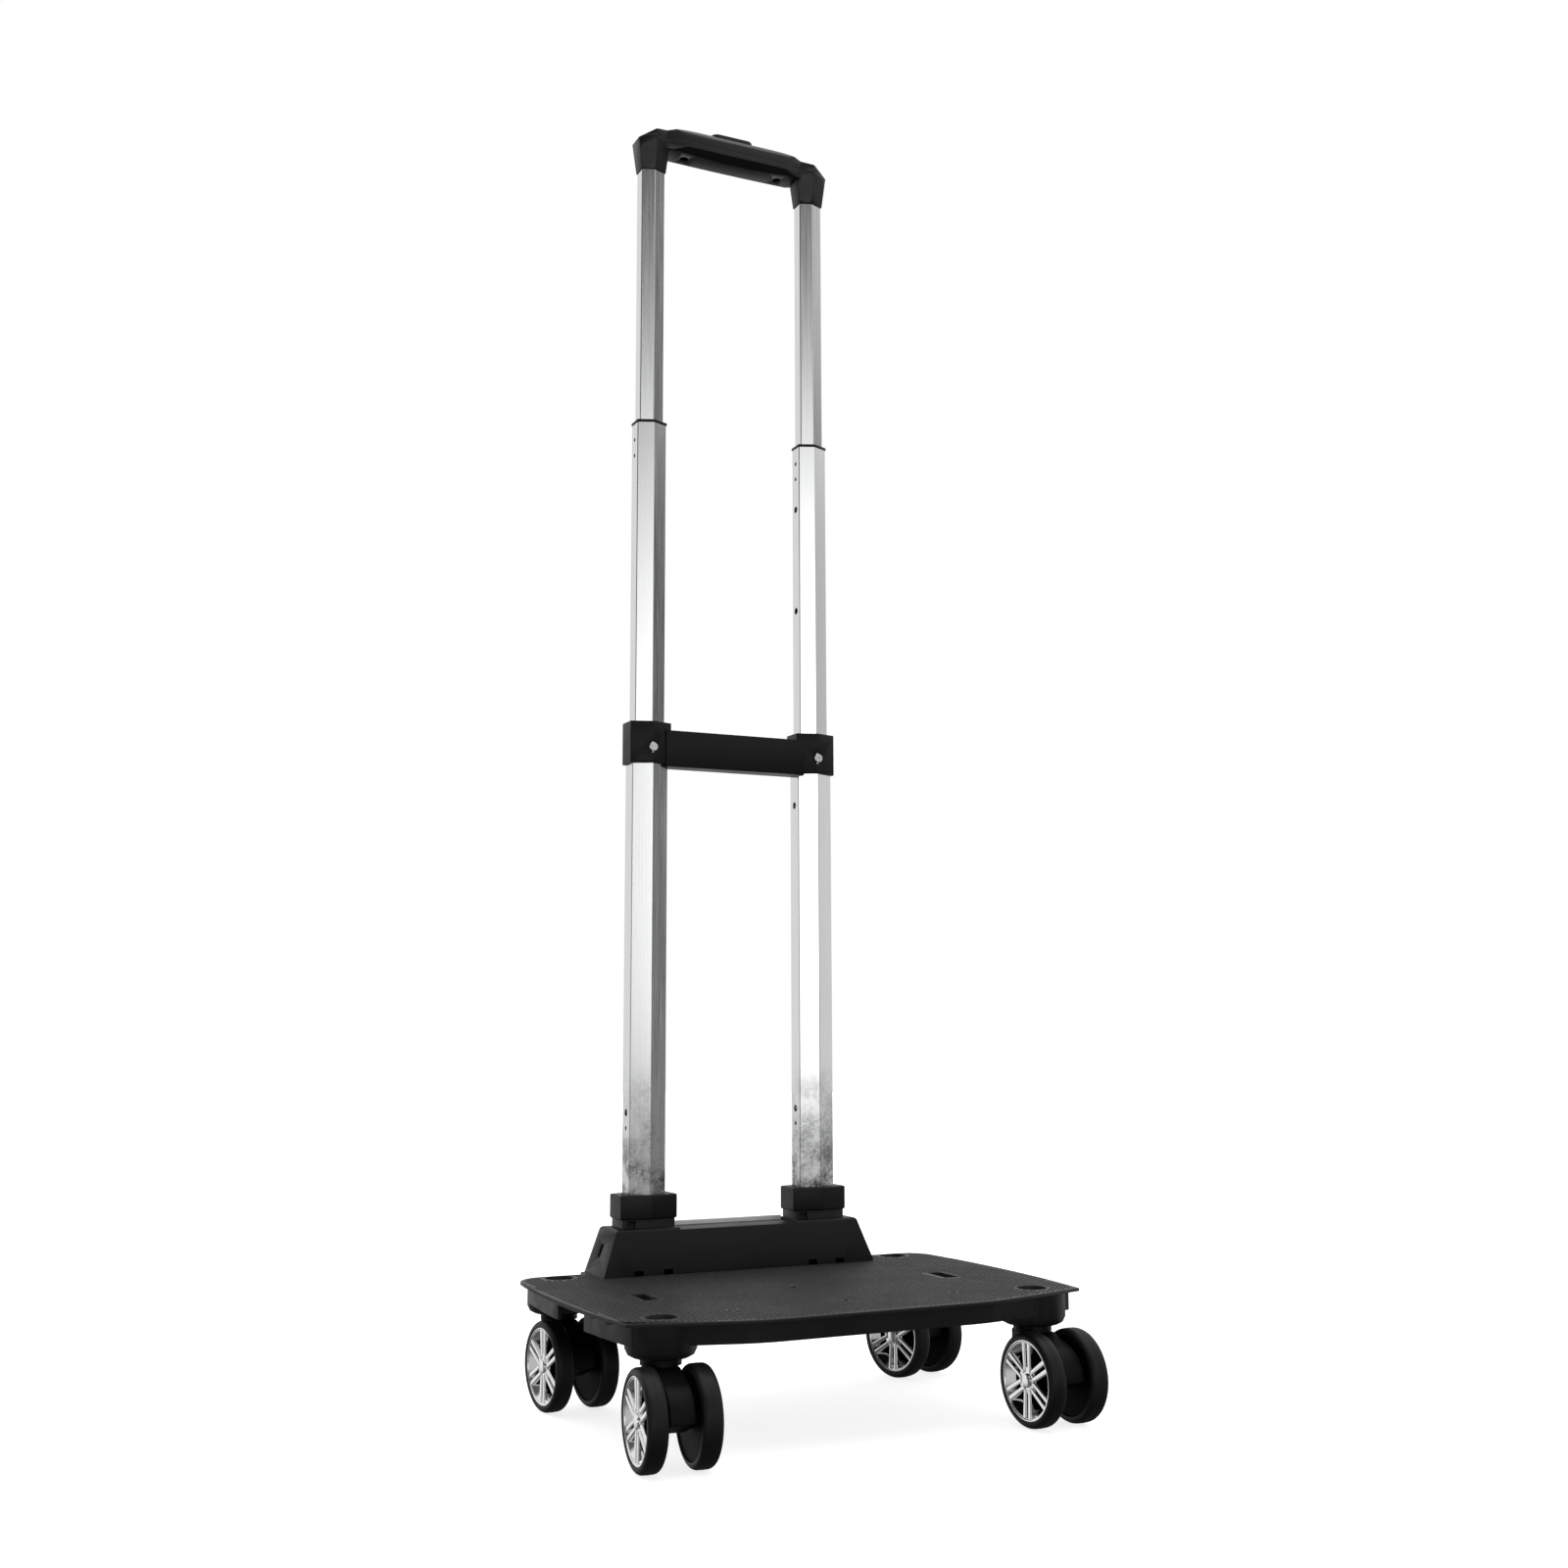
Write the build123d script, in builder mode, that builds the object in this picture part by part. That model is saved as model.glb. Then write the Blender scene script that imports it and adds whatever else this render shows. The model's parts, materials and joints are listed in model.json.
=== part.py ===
from build123d import *
import math
import os

# Platform luggage trolley: a moulded deck on four twin-wheel swivel casters, with a
# two-stage telescopic handle of six-sided aluminium tubes.
# Millimetres, +Z up, floor at z = 0, the handle at the rear (+Y), origin under the
# middle of the trolley's whole footprint.

# ---- driving dimensions --------------------------------------------------------------

# layout
DECK_MID_Y = 15.4          # middle of the four caster pivots, along Y
PIVOT_X = 132.8            # caster pivots, either side of the middle
PIVOT_Y = 94.4
TUBE_X = 68.2              # handle tubes, either side of the middle
TUBE_Y = DECK_MID_Y + 100.5

# deck
DECK_TOP = 84.0
LIP_THICK = 2.2
LIP_Z = DECK_TOP - LIP_THICK
LIP_OVERHANG = 6.0
SKIRT_WALL = 2.6
SKIRT_Z = 69.5
FRONT_Y = DECK_MID_Y - 132.4
FRONT_FLAT_X = 82.0        # straight part of the front edge, half length
FRONT_CORNER = (161.0, DECK_MID_Y - 109.0)
SIDE_BULGE = (168.0, DECK_MID_Y - 8.0)
REAR_CORNER = (160.5, DECK_MID_Y + 106.0)
FRONT_BEND_R = 110.0
FRONT_CORNER_R = 24.0
REAR_CORNER_R = 20.0
TONGUE_HALF = 109.0        # tongue behind the deck that carries the handle bracket
TONGUE_Y = DECK_MID_Y + 118.0
RIB_THICK = 1.8
RIB_Z = 72.0
RIB_X_HALF = 157.5
RIB_ROWS_Y = [DECK_MID_Y + y for y in (-62.0, 18.0, 55.0)]
RIB_COLUMNS_X = [-84.0, -42.0, 0.0, 42.0, 84.0]
RIB_FRONT_Y = FRONT_Y + 7.5
RIB_REAR_Y = DECK_MID_Y + 94.0
STRAP_SLOT = (10.0, 28.0)
STRAP_SLOT_X = 112.0
STRAP_SLOT_Y = DECK_MID_Y - 14.5
SKIRT_NOTCH_Y = (DECK_MID_Y - 37.0, DECK_MID_Y + 11.5)
SKIRT_SLOTS = [(60.5, 9.0), (29.0, 10.0), (-50.5, 5.0), (-75.0, 8.0)]
SKIRT_SLOT_Z = 80.2
SKIRT_SLOT_HIGH = 2.4
DRAIN_HOLE = (-8.0, DECK_MID_Y - 20.0)
DRAIN_R = 2.6
DIMPLE_X = [-83.0, -3.0, 77.0]
DIMPLE_Y = DECK_MID_Y - 86.0
DIMPLE_R = 1.7
DIMPLE_DEEP = 1.4

# caster bosses under the deck, and the pocket above each one
BOSS_Z = 61.5
BOSS_PROFILE = [(17.5, BOSS_Z), (20.3, BOSS_Z + 1.5), (22.0, BOSS_Z + 5.0), (22.0, LIP_Z)]
BOSS_SETBACK = 1.5         # the rear bosses stop short of the lip's rear edge
POCKET_R = 10.0
POCKET_DEEP = 2.4
LOBE_R = 3.0
LOBE_AT = 5.6
LOBE_DEEP = 6.0

# handle bracket
BRACKET_FOOT = 107.0
BRACKET_SHOULDER = 95.0
BRACKET_FOOT_Y = DECK_MID_Y + 76.0
BRACKET_SHOULDER_Y = DECK_MID_Y + 82.0
BRACKET_REAR_Y = DECK_MID_Y + 116.5
BRACKET_TOP = 115.6
BRACKET_WALL = 3.0
BRACKET_CORNER_R = 3.0
BRACKET_SEAT = 0.6         # the bracket stands in a shallow seat in the deck
SEAT_Z = DECK_TOP - BRACKET_SEAT
BRACKET_SCREW_HEAD = (4.8, 2.4)
BRACKET_SCREW_GAP = 1.2
BRACKET_SCREW_LONG = 24.0
WEB_HALF = 47.0
WEB_TOP = 113.8
NECK_TOP = 121.5
COLLAR_TOP = 138.5
TIE_BAR_TOP = 117.0
TIE_BAR_THICK = 2.0
FOOT_SLOTS_X = [-12.3, 10.0]   # clip slots at the bracket's foot, from each tube's axis
FOOT_SLOT = (7.0, 3.6)
SIDE_SLOT = (5.0, 10.0)
SIDE_SLOT_Z = 100.0
NECK_NOTCH = (4.6, 5.2)
NECK_NOTCH_X = 13.5
NECK_NOTCH_Z = 118.2

# six-sided sections: half width, half depth of the flat sides, height of the ridge
OUTER_TUBE = (14.0, 7.1, 6.1)
MIDDLE_TUBE = (11.7, 6.0, 4.9)
INNER_TUBE = (9.5, 5.2, 3.6)
NECK = (20.0, 10.6, 5.2)
COLLAR = (21.6, 11.4, 5.6)
CLAMP = (16.1, 8.8, 5.6)
CAP_FOOT = (10.1, 5.8, 3.8)
CAP_WAIST = (13.0, 7.4, 5.4)
OUTER_WALL = 1.2
MIDDLE_WALL = 1.1
INNER_WALL = 1.0
TUBE_CORNER_R = 0.9
SEAT_GAP = 0.1             # a fixed tube in its socket
SLIDE_GAP = 0.3            # a sliding tube in its guide

# handle heights
OUTER_FOOT = 86.0
OUTER_HEAD = 478.0
MIDDLE_FOOT = 412.0
MIDDLE_HEAD = 712.0
INNER_FOOT = 649.0
INNER_HEAD = 932.0
LOCK_HOLE_R = 2.6
PIN_HOLE_R = 1.5
OUTER_HOLES = [(426.0, LOCK_HOLE_R), (196.0, LOCK_HOLE_R), (185.0, PIN_HOLE_R)]
MIDDLE_HOLES = [(699.5, PIN_HOLE_R), (687.0, PIN_HOLE_R), (662.0, LOCK_HOLE_R), (580.0, LOCK_HOLE_R)]
MIDDLE_LOCK_Z = 426.0
INNER_LOCK_Z = 662.0
LOCK_BLOCK_HALF = 12.0
LOCK_PIN_R = 2.3
LOCK_PIN_LONG = 7.0
BUSH_SLEEVE = 16.0
BUSH_WALL = 0.75
RING_FOOT = 698.0
RING_TOP = 714.2
RING_FLANGE = 2.2
PLUG_TOP = 112.0
PLUG_BORE_R = 2.4

# brace between the outer tubes
CLAMP_FOOT = 450.2
CLAMP_HEAD = 481.3
BAR_FOOT = 448.7
BAR_HEAD = 475.7
BAR_FRONT_Y = TUBE_Y - 11.5
BAR_DEEP = 16.0
BAR_HALF = 57.0
BAR_WALL = 2.5
BRACE_SCREW_Z = 462.0
BRACE_SCREW_HEAD_R = 3.4
BRACE_SCREW_RECESS_R = 4.2
BRACE_SCREW_RECESS = 1.4

# grip
CAP_Z = 916.5
CAP_WAIST_Z = 941.0
GRIP_SPLIT = 943.0
GRIP_TOP_END = 948.0
GRIP_TOP_MID = 957.7
GRIP_BOTTOM_END = 938.0
GRIP_BOTTOM_MID = 934.0
GRIP_TOP_HALF = 69.0
GRIP_HALF = TUBE_X + CAP_WAIST[0]
GRIP_HALF_DEEP = 14.0
GRIP_BAND = (938.5, 944.5) # upright front and rear bands
GRIP_SOLE_HALF = 8.0
GRIP_BAR_HALF = 60.0       # the bar tapers in plan towards its ends
GRIP_TAPER_X = 42.0
GRIP_END_DEEP = 8.0
BUTTON = (36.0, 12.0)
BUTTON_GAP = 0.4
BUTTON_TOP = 959.8
BUTTON_FOOT = 949.0
BUTTON_WELL_HALF = 30.0
BAR_LOW = 943.5            # release bar under the button
RELEASE_BAR = (140.0, 8.0, 2.0)
RELEASE_BAR_GAP = 0.3
BAR_FLOOR = 938.7
ROD_R = 1.5
ROD_FOOT = 677.0
GRIP_SCREW_X = 40.3
GRIP_SCREW_HEAD_R = 2.6
GRIP_SCREW_HEAD = 1.0
GRIP_SCREW_RECESS_R = 3.2
GRIP_SCREW_TOP = 937.4
SPRING_X = 24.0
SPRING_R = 2.6
SPRING_WIRE_R = 0.4
SPRING_TURNS = 4
SPRING_FOOT = 937.0
SPRING_WELL_R = 3.2

# casters
WHEEL_R = 30.0
TRAIL = 22.35
AXLE_R = 3.0
AXLE_HALF = 20.0
RUNNING_GAP = 0.06
WHEEL_INNER = 10.2         # wheel faces, from the caster's middle plane
WHEEL_OUTER = 23.1
TYRE_BORE_R = 24.8
CORE_R = TYRE_BORE_R
RIM_LIP_R = 27.5
RIM_SEAT = WHEEL_OUTER - 1.6
LIP_ROUND = 0.5
TREAD_SHOULDER_R = 3.4
RIM_LIP_INNER_R = 24.0
SPOKE_FACE = 22.4
SPOKE_BACK = 20.4
SPOKE_PAIRS = 6
SPOKE_BAND = 6.8
SPOKE_SLOT = 1.6
WINDOW_R = (9.0, 23.4)
HUB_R = 4.6
CORE_PLATE = 2.2
CORE_RECESS = 0.8
CORE_DRUM_R = 22.6
CORE_HUB_R = 6.0
NECK_R = 12.65
NECK_HEAD = 60.7
NECK_FOOT = 57.0
SHOULDER_HIGH = 10.0
HOUSING_HALF = 8.6
HOUSING_R = 22.0
AXLE_BOSS_R = 8.4
AXLE_BOSS_HALF = 9.8
KINGPIN_R = 5.0
KINGPIN_FOOT = 47.0
KINGPIN_HEAD = 74.0
THRUST_R = 11.0
THRUST_Z = 61.0
# name: side, end, heading in degrees of the trailing wheels
CASTERS = {
    "front_left": (-1, -1, -4.6),
    "front_right": (1, -1, 2.1),
    "rear_left": (-1, 1, 5.0),
    "rear_right": (1, 1, 13.8),
}
SIDES = {"left": -1, "right": 1}


def save(piece, name):
    piece.part.label = name
    export_step(piece.part, f"parts/{name}.step")


def hexagon(size, grow=0.0):
    """Corners of a six-sided section with a ridge front and back, grown by an offset."""
    half_width, side, ridge = size
    slope = math.atan2(ridge, half_width)
    x = half_width + grow
    tip = side + ridge + grow / math.cos(slope)
    y = tip - x * math.tan(slope)
    return [(x, -y), (x, y), (0, tip), (-x, y), (-x, -y), (0, -tip)]


def at_tube(x, z):
    return Plane(origin=(x, TUBE_Y, z))


def pivot(name):
    side, end, _ = CASTERS[name]
    return side * PIVOT_X, DECK_MID_Y + end * PIVOT_Y


# ---- deck ----------------------------------------------------------------------------

def deck_outline(inset=0.0):
    """Outline of the deck: bowed front, gently bulging sides and a straight rear."""
    with BuildSketch() as outline:
        with BuildLine():
            front = Line((-FRONT_FLAT_X, FRONT_Y), (FRONT_FLAT_X, FRONT_Y))
            right_bow = Line(front @ 1, FRONT_CORNER)
            right = ThreePointArc(right_bow @ 1, SIDE_BULGE, REAR_CORNER)
            rear = Line(right @ 1, (-REAR_CORNER[0], REAR_CORNER[1]))
            left = ThreePointArc(rear @ 1, (-SIDE_BULGE[0], SIDE_BULGE[1]),
                                 (-FRONT_CORNER[0], FRONT_CORNER[1]))
            Line(left @ 1, front @ 0)
        make_face()
        rows = outline.vertices().group_by(Axis.Y)
        fillet(rows[-1], radius=REAR_CORNER_R)
        fillet(rows[1], radius=FRONT_CORNER_R)
        fillet(outline.vertices().group_by(Axis.Y)[0], radius=FRONT_BEND_R)
        if inset:
            offset(amount=-inset, mode=Mode.REPLACE)
    return outline.sketch


with BuildPart() as deck:
    with BuildSketch(Plane.XY.offset(LIP_Z)):
        add(deck_outline())
        with Locations((0, (REAR_CORNER[1] + TONGUE_Y) / 2 - 5)):
            Rectangle(2 * TONGUE_HALF, TONGUE_Y - REAR_CORNER[1] + 10)
    extrude(amount=LIP_THICK)
    fillet(deck.faces().sort_by(Axis.Z)[-1].outer_wire().edges(), radius=0.7)
    with BuildSketch(Plane.XY.offset(SKIRT_Z)):
        add(deck_outline(LIP_OVERHANG))
        offset(amount=-SKIRT_WALL, mode=Mode.SUBTRACT)
    extrude(amount=LIP_Z - SKIRT_Z)
    with BuildSketch(Plane.XY.offset(RIB_Z)):
        for y in RIB_ROWS_Y:
            with Locations((0, y)):
                Rectangle(2 * RIB_X_HALF, RIB_THICK)
        for x in RIB_COLUMNS_X:
            with Locations((x, (RIB_FRONT_Y + RIB_REAR_Y) / 2)):
                Rectangle(RIB_THICK, RIB_REAR_Y - RIB_FRONT_Y)
    extrude(amount=LIP_Z - RIB_Z)
    for name in CASTERS:
        x, y = pivot(name)
        with BuildSketch(Plane(origin=(x, y, 0), x_dir=(1, 0, 0), z_dir=(0, -1, 0))):
            with BuildLine():
                Polyline((0, BOSS_Z), *BOSS_PROFILE, (0, LIP_Z), close=True)
            make_face()
        revolve(axis=Axis((x, y, 0), (0, 0, 1)))
    with Locations((0, REAR_CORNER[1] - BOSS_SETBACK, LIP_Z)):
        Box(2 * SIDE_BULGE[0], TONGUE_Y - REAR_CORNER[1], LIP_Z - BOSS_Z, mode=Mode.SUBTRACT,
            align=(Align.CENTER, Align.MIN, Align.MAX))
    # side notches and the short slots under the lip
    for side in SIDES.values():
        low, high = SKIRT_NOTCH_Y
        with Locations((side * RIB_X_HALF, (low + high) / 2, LIP_Z)):
            Box(3 * LIP_OVERHANG, high - low, LIP_Z - SKIRT_Z + 1, mode=Mode.SUBTRACT,
                align=(Align.CENTER, Align.CENTER, Align.MAX))
        for y, long in SKIRT_SLOTS:
            with Locations((side * RIB_X_HALF, DECK_MID_Y + y, SKIRT_SLOT_Z)):
                Box(3 * LIP_OVERHANG, long, SKIRT_SLOT_HIGH, mode=Mode.SUBTRACT)
    # caster pockets, kingpin bores, strap slots, drain hole and dimples
    for name in CASTERS:
        x, y = pivot(name)
        with BuildSketch(Plane(origin=(x, y, DECK_TOP))):
            Circle(POCKET_R)
        extrude(amount=-POCKET_DEEP, mode=Mode.SUBTRACT)
        with BuildSketch(Plane(origin=(x, y, DECK_TOP - LOBE_DEEP))):
            with PolarLocations(LOBE_AT, 3):
                Circle(LOBE_R)
        extrude(amount=LOBE_DEEP, mode=Mode.SUBTRACT)
        with BuildSketch(Plane(origin=(x, y, BOSS_Z))):
            Circle(KINGPIN_R + SEAT_GAP)
        extrude(amount=KINGPIN_HEAD - BOSS_Z, mode=Mode.SUBTRACT)
    with BuildSketch(Plane.XY.offset(DECK_TOP)):
        for side in SIDES.values():
            with Locations((side * STRAP_SLOT_X, STRAP_SLOT_Y)):
                RectangleRounded(*STRAP_SLOT, 1.5)
        with Locations(DRAIN_HOLE):
            Circle(DRAIN_R)
        with Locations((-TUBE_X, TUBE_Y), (TUBE_X, TUBE_Y)):
            Circle(PLUG_BORE_R)
    extrude(amount=-LIP_THICK, mode=Mode.SUBTRACT)
    with BuildSketch(Plane.XY.offset(DECK_TOP)):
        with Locations(*[(x, DIMPLE_Y) for x in DIMPLE_X]):
            Circle(DIMPLE_R)
    extrude(amount=-DIMPLE_DEEP, mode=Mode.SUBTRACT)
    # seat of the handle bracket, and room for its screw heads in the rear skirt
    with BuildSketch(Plane.XY.offset(DECK_TOP)):
        with Locations((0, (BRACKET_FOOT_Y + BRACKET_REAR_Y) / 2)):
            Rectangle(2 * (BRACKET_FOOT + SEAT_GAP), BRACKET_REAR_Y - BRACKET_FOOT_Y + 2 * SEAT_GAP)
    extrude(amount=-BRACKET_SEAT, mode=Mode.SUBTRACT)
    with BuildSketch(Plane.XY.offset(SKIRT_Z)):
        with Locations((-TUBE_X, TUBE_Y), (TUBE_X, TUBE_Y)):
            Circle(BRACKET_SCREW_HEAD[0] + BRACKET_SCREW_GAP)
    extrude(amount=LIP_Z - SKIRT_Z, mode=Mode.SUBTRACT)
save(deck, "deck")

# ---- handle bracket, its tie bar, screws and collars ---------------------------------

with BuildPart() as bracket:
    with BuildSketch(Plane.XY.offset(SEAT_Z)):
        with Locations((0, (BRACKET_FOOT_Y + BRACKET_REAR_Y) / 2)):
            Rectangle(2 * BRACKET_FOOT, BRACKET_REAR_Y - BRACKET_FOOT_Y)
    with BuildSketch(Plane.XY.offset(BRACKET_TOP)):
        with Locations((0, (BRACKET_SHOULDER_Y + BRACKET_REAR_Y) / 2)):
            Rectangle(2 * BRACKET_SHOULDER, BRACKET_REAR_Y - BRACKET_SHOULDER_Y)
    loft()
    fillet(bracket.faces().sort_by(Axis.Z)[-1].edges(), radius=BRACKET_CORNER_R)
    with BuildSketch(Plane.XY.offset(SEAT_Z)):
        with Locations((0, (BRACKET_FOOT_Y + BRACKET_REAR_Y) / 2)):
            Rectangle(2 * (BRACKET_FOOT - BRACKET_WALL), BRACKET_REAR_Y - BRACKET_FOOT_Y - 2 * BRACKET_WALL)
    with BuildSketch(Plane.XY.offset(WEB_TOP - BRACKET_WALL)):
        with Locations((0, (BRACKET_SHOULDER_Y + BRACKET_REAR_Y) / 2)):
            Rectangle(2 * (BRACKET_SHOULDER - BRACKET_WALL),
                      BRACKET_REAR_Y - BRACKET_SHOULDER_Y - 2 * BRACKET_WALL)
    loft(mode=Mode.SUBTRACT)
    with Locations((0, TUBE_Y, WEB_TOP)):
        Box(2 * WEB_HALF, 4 * BRACKET_CORNER_R + BRACKET_REAR_Y - BRACKET_FOOT_Y, BRACKET_TOP,
            align=(Align.CENTER, Align.CENTER, Align.MIN), mode=Mode.SUBTRACT)
    for x in (-TUBE_X, TUBE_X):
        with BuildSketch(at_tube(x, SEAT_Z)):
            Polygon(*hexagon(NECK), align=None)
        extrude(amount=NECK_TOP - SEAT_Z)
    for x in (-TUBE_X, TUBE_X):
        with BuildSketch(at_tube(x, SEAT_Z)):
            Polygon(*hexagon(OUTER_TUBE, SEAT_GAP), align=None)
        extrude(amount=NECK_TOP - SEAT_Z, mode=Mode.SUBTRACT)
        # clip notch in the neck and clip slots at the foot
        with Locations((x - NECK_NOTCH_X, TUBE_Y - NECK[1] - NECK[2], NECK_NOTCH_Z)):
            Box(NECK_NOTCH[0], 2 * NECK[2], NECK_NOTCH[1], mode=Mode.SUBTRACT)
        for slot_x in FOOT_SLOTS_X:
            with Locations((x + slot_x, BRACKET_FOOT_Y, SEAT_Z)):
                Box(FOOT_SLOT[0], 4 * BRACKET_WALL, FOOT_SLOT[1] + BRACKET_SEAT, mode=Mode.SUBTRACT,
                    align=(Align.CENTER, Align.CENTER, Align.MIN))
    for side in SIDES.values():
        with BuildSketch(Plane(origin=(side * BRACKET_FOOT, TUBE_Y - 1, SIDE_SLOT_Z), x_dir=(0, 1, 0),
                               z_dir=(-side, 0, 0))):
            SlotOverall(SIDE_SLOT[1], SIDE_SLOT[0], rotation=90)
        extrude(amount=BRACKET_FOOT - BRACKET_SHOULDER + BRACKET_WALL, mode=Mode.SUBTRACT)
    # seat of the tie bar
    with Locations((0, BRACKET_REAR_Y - BRACKET_WALL, SEAT_Z)):
        Box(2 * WEB_HALF, TIE_BAR_THICK + SEAT_GAP, BRACKET_TOP, mode=Mode.SUBTRACT,
            align=(Align.CENTER, Align.MAX, Align.MIN))
save(bracket, "handle_bracket")

with BuildPart() as tie_bar:
    with Locations((0, BRACKET_REAR_Y - BRACKET_WALL - SEAT_GAP, SEAT_Z)):
        Box(2 * (WEB_HALF - SEAT_GAP), TIE_BAR_THICK - SEAT_GAP, TIE_BAR_TOP - SEAT_Z,
            align=(Align.CENTER, Align.MAX, Align.MIN))
    chamfer(tie_bar.faces().sort_by(Axis.Z)[-1].edges().filter_by(Axis.X), length=0.5)
save(tie_bar, "tie_bar")

with BuildPart() as collars:
    for x in (-TUBE_X, TUBE_X):
        with BuildSketch(at_tube(x, NECK_TOP)) as ring:
            Polygon(*hexagon(COLLAR), align=None)
            fillet(ring.vertices(), radius=1.0)
        extrude(amount=COLLAR_TOP - NECK_TOP)
    chamfer(collars.faces().filter_by(Axis.Z).edges(), length=0.8)
    for x in (-TUBE_X, TUBE_X):
        with BuildSketch(at_tube(x, NECK_TOP)):
            Polygon(*hexagon(OUTER_TUBE, SEAT_GAP), align=None)
        extrude(amount=COLLAR_TOP - NECK_TOP, mode=Mode.SUBTRACT)
save(collars, "base_collars")

with BuildPart() as bracket_screws:
    with Locations(*[(x, TUBE_Y, LIP_Z) for x in (-TUBE_X, TUBE_X)]):
        Cylinder(PLUG_BORE_R - SEAT_GAP, BRACKET_SCREW_LONG, align=(Align.CENTER, Align.CENTER, Align.MIN))
        Cylinder(*BRACKET_SCREW_HEAD, align=(Align.CENTER, Align.CENTER, Align.MAX))
    fillet(bracket_screws.faces().sort_by(Axis.Z)[:2].edges(), radius=0.8)
save(bracket_screws, "bracket_screws")


# ---- telescopic tubes ----------------------------------------------------------------

def hex_tube(x, size, wall, foot, head, holes):
    """A six-sided extruded tube with round holes (height, radius, side) through its flat sides."""
    with BuildPart() as tube:
        with BuildSketch(at_tube(x, foot)) as section:
            Polygon(*hexagon(size), align=None)
            fillet(section.vertices(), radius=TUBE_CORNER_R)
            Polygon(*hexagon(size, -wall), align=None, mode=Mode.SUBTRACT)
        extrude(amount=head - foot)
        for z, radius, side in holes:
            with Locations((x + side * size[0], TUBE_Y, z)):
                Cylinder(radius, 3 * wall, rotation=(0, 90, 0), mode=Mode.SUBTRACT)
    return tube


def facing_middle(holes, side):
    return [(z, radius, -side) for z, radius in holes]


for hand, side in SIDES.items():
    outer_tube = hex_tube(side * TUBE_X, OUTER_TUBE, OUTER_WALL, OUTER_FOOT, OUTER_HEAD,
                          facing_middle(OUTER_HOLES, side) + [(z, r, side) for z, r in OUTER_HOLES[1:]])
    save(outer_tube, f"outer_tube_{hand}")
    middle_tube = hex_tube(side * TUBE_X, MIDDLE_TUBE, MIDDLE_WALL, MIDDLE_FOOT, MIDDLE_HEAD,
                           facing_middle(MIDDLE_HOLES + [(MIDDLE_LOCK_Z, LOCK_HOLE_R)], side)
                           + [(z, r, side) for z, r in MIDDLE_HOLES[:2]])
    save(middle_tube, f"middle_tube_{hand}")
    inner_tube = hex_tube(side * TUBE_X, INNER_TUBE, INNER_WALL, INNER_FOOT, INNER_HEAD,
                          facing_middle([(INNER_LOCK_Z, LOCK_HOLE_R)], side))
    save(inner_tube, f"inner_tube_{hand}")

with BuildPart() as tube_plugs:
    for x in (-TUBE_X, TUBE_X):
        with BuildSketch(at_tube(x, SEAT_Z)):
            Polygon(*hexagon(OUTER_TUBE, -OUTER_WALL - SEAT_GAP), align=None)
            Circle(PLUG_BORE_R, mode=Mode.SUBTRACT)
        extrude(amount=PLUG_TOP - SEAT_Z)
save(tube_plugs, "tube_plugs")

# plastic guides at the top of the outer tubes: a sleeve in the tube and a flange on it
with BuildPart() as guide_bushes:
    for x in (-TUBE_X, TUBE_X):
        with BuildSketch(at_tube(x, OUTER_HEAD - BUSH_SLEEVE)):
            Polygon(*hexagon(OUTER_TUBE, -OUTER_WALL), align=None)
        extrude(amount=BUSH_SLEEVE)
        with BuildSketch(at_tube(x, OUTER_HEAD)):
            Polygon(*hexagon(OUTER_TUBE), align=None)
        extrude(amount=CLAMP_HEAD - OUTER_HEAD)
    for x in (-TUBE_X, TUBE_X):
        with BuildSketch(at_tube(x, OUTER_HEAD - BUSH_SLEEVE)):
            Polygon(*hexagon(MIDDLE_TUBE, SLIDE_GAP), align=None)
        extrude(amount=BUSH_SLEEVE + CLAMP_HEAD - OUTER_HEAD, mode=Mode.SUBTRACT)
save(guide_bushes, "guide_bushes")

# the same guides at the top of the middle tubes, seen as a thin black ring
with BuildPart() as top_rings:
    for x in (-TUBE_X, TUBE_X):
        with BuildSketch(at_tube(x, RING_FOOT)):
            Polygon(*hexagon(MIDDLE_TUBE, -MIDDLE_WALL), align=None)
        extrude(amount=MIDDLE_HEAD - RING_FOOT)
        with BuildSketch(at_tube(x, MIDDLE_HEAD)):
            Polygon(*hexagon(MIDDLE_TUBE, BUSH_WALL / 2), align=None)
        extrude(amount=RING_FLANGE)
    chamfer(top_rings.faces().sort_by(Axis.Z)[-2:].edges(), length=0.3)
    for x in (-TUBE_X, TUBE_X):
        with BuildSketch(at_tube(x, RING_FOOT)):
            Polygon(*hexagon(INNER_TUBE, SLIDE_GAP), align=None)
        extrude(amount=RING_TOP - RING_FOOT, mode=Mode.SUBTRACT)
save(top_rings, "top_rings")


def lock_blocks(size, wall, z, bore_r):
    """Plastic blocks in the feet of a pair of sliding tubes, each bored for its lock pin and its rod."""
    with BuildPart() as blocks:
        for side in SIDES.values():
            x = side * TUBE_X
            with BuildSketch(at_tube(x, z - LOCK_BLOCK_HALF)):
                Polygon(*hexagon(size, -wall - SEAT_GAP), align=None)
            extrude(amount=2 * LOCK_BLOCK_HALF)
            with Locations((x, TUBE_Y, z)):
                Cylinder(LOCK_PIN_R + SEAT_GAP, LOCK_PIN_LONG + size[0], rotation=(0, -90 * side, 0),
                         align=(Align.CENTER, Align.CENTER, Align.MIN), mode=Mode.SUBTRACT)
            with Locations((x, TUBE_Y, z + LOCK_BLOCK_HALF)):
                Cylinder(bore_r, LOCK_BLOCK_HALF, align=(Align.CENTER, Align.CENTER, Align.MAX),
                         mode=Mode.SUBTRACT)
    return blocks


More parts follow.
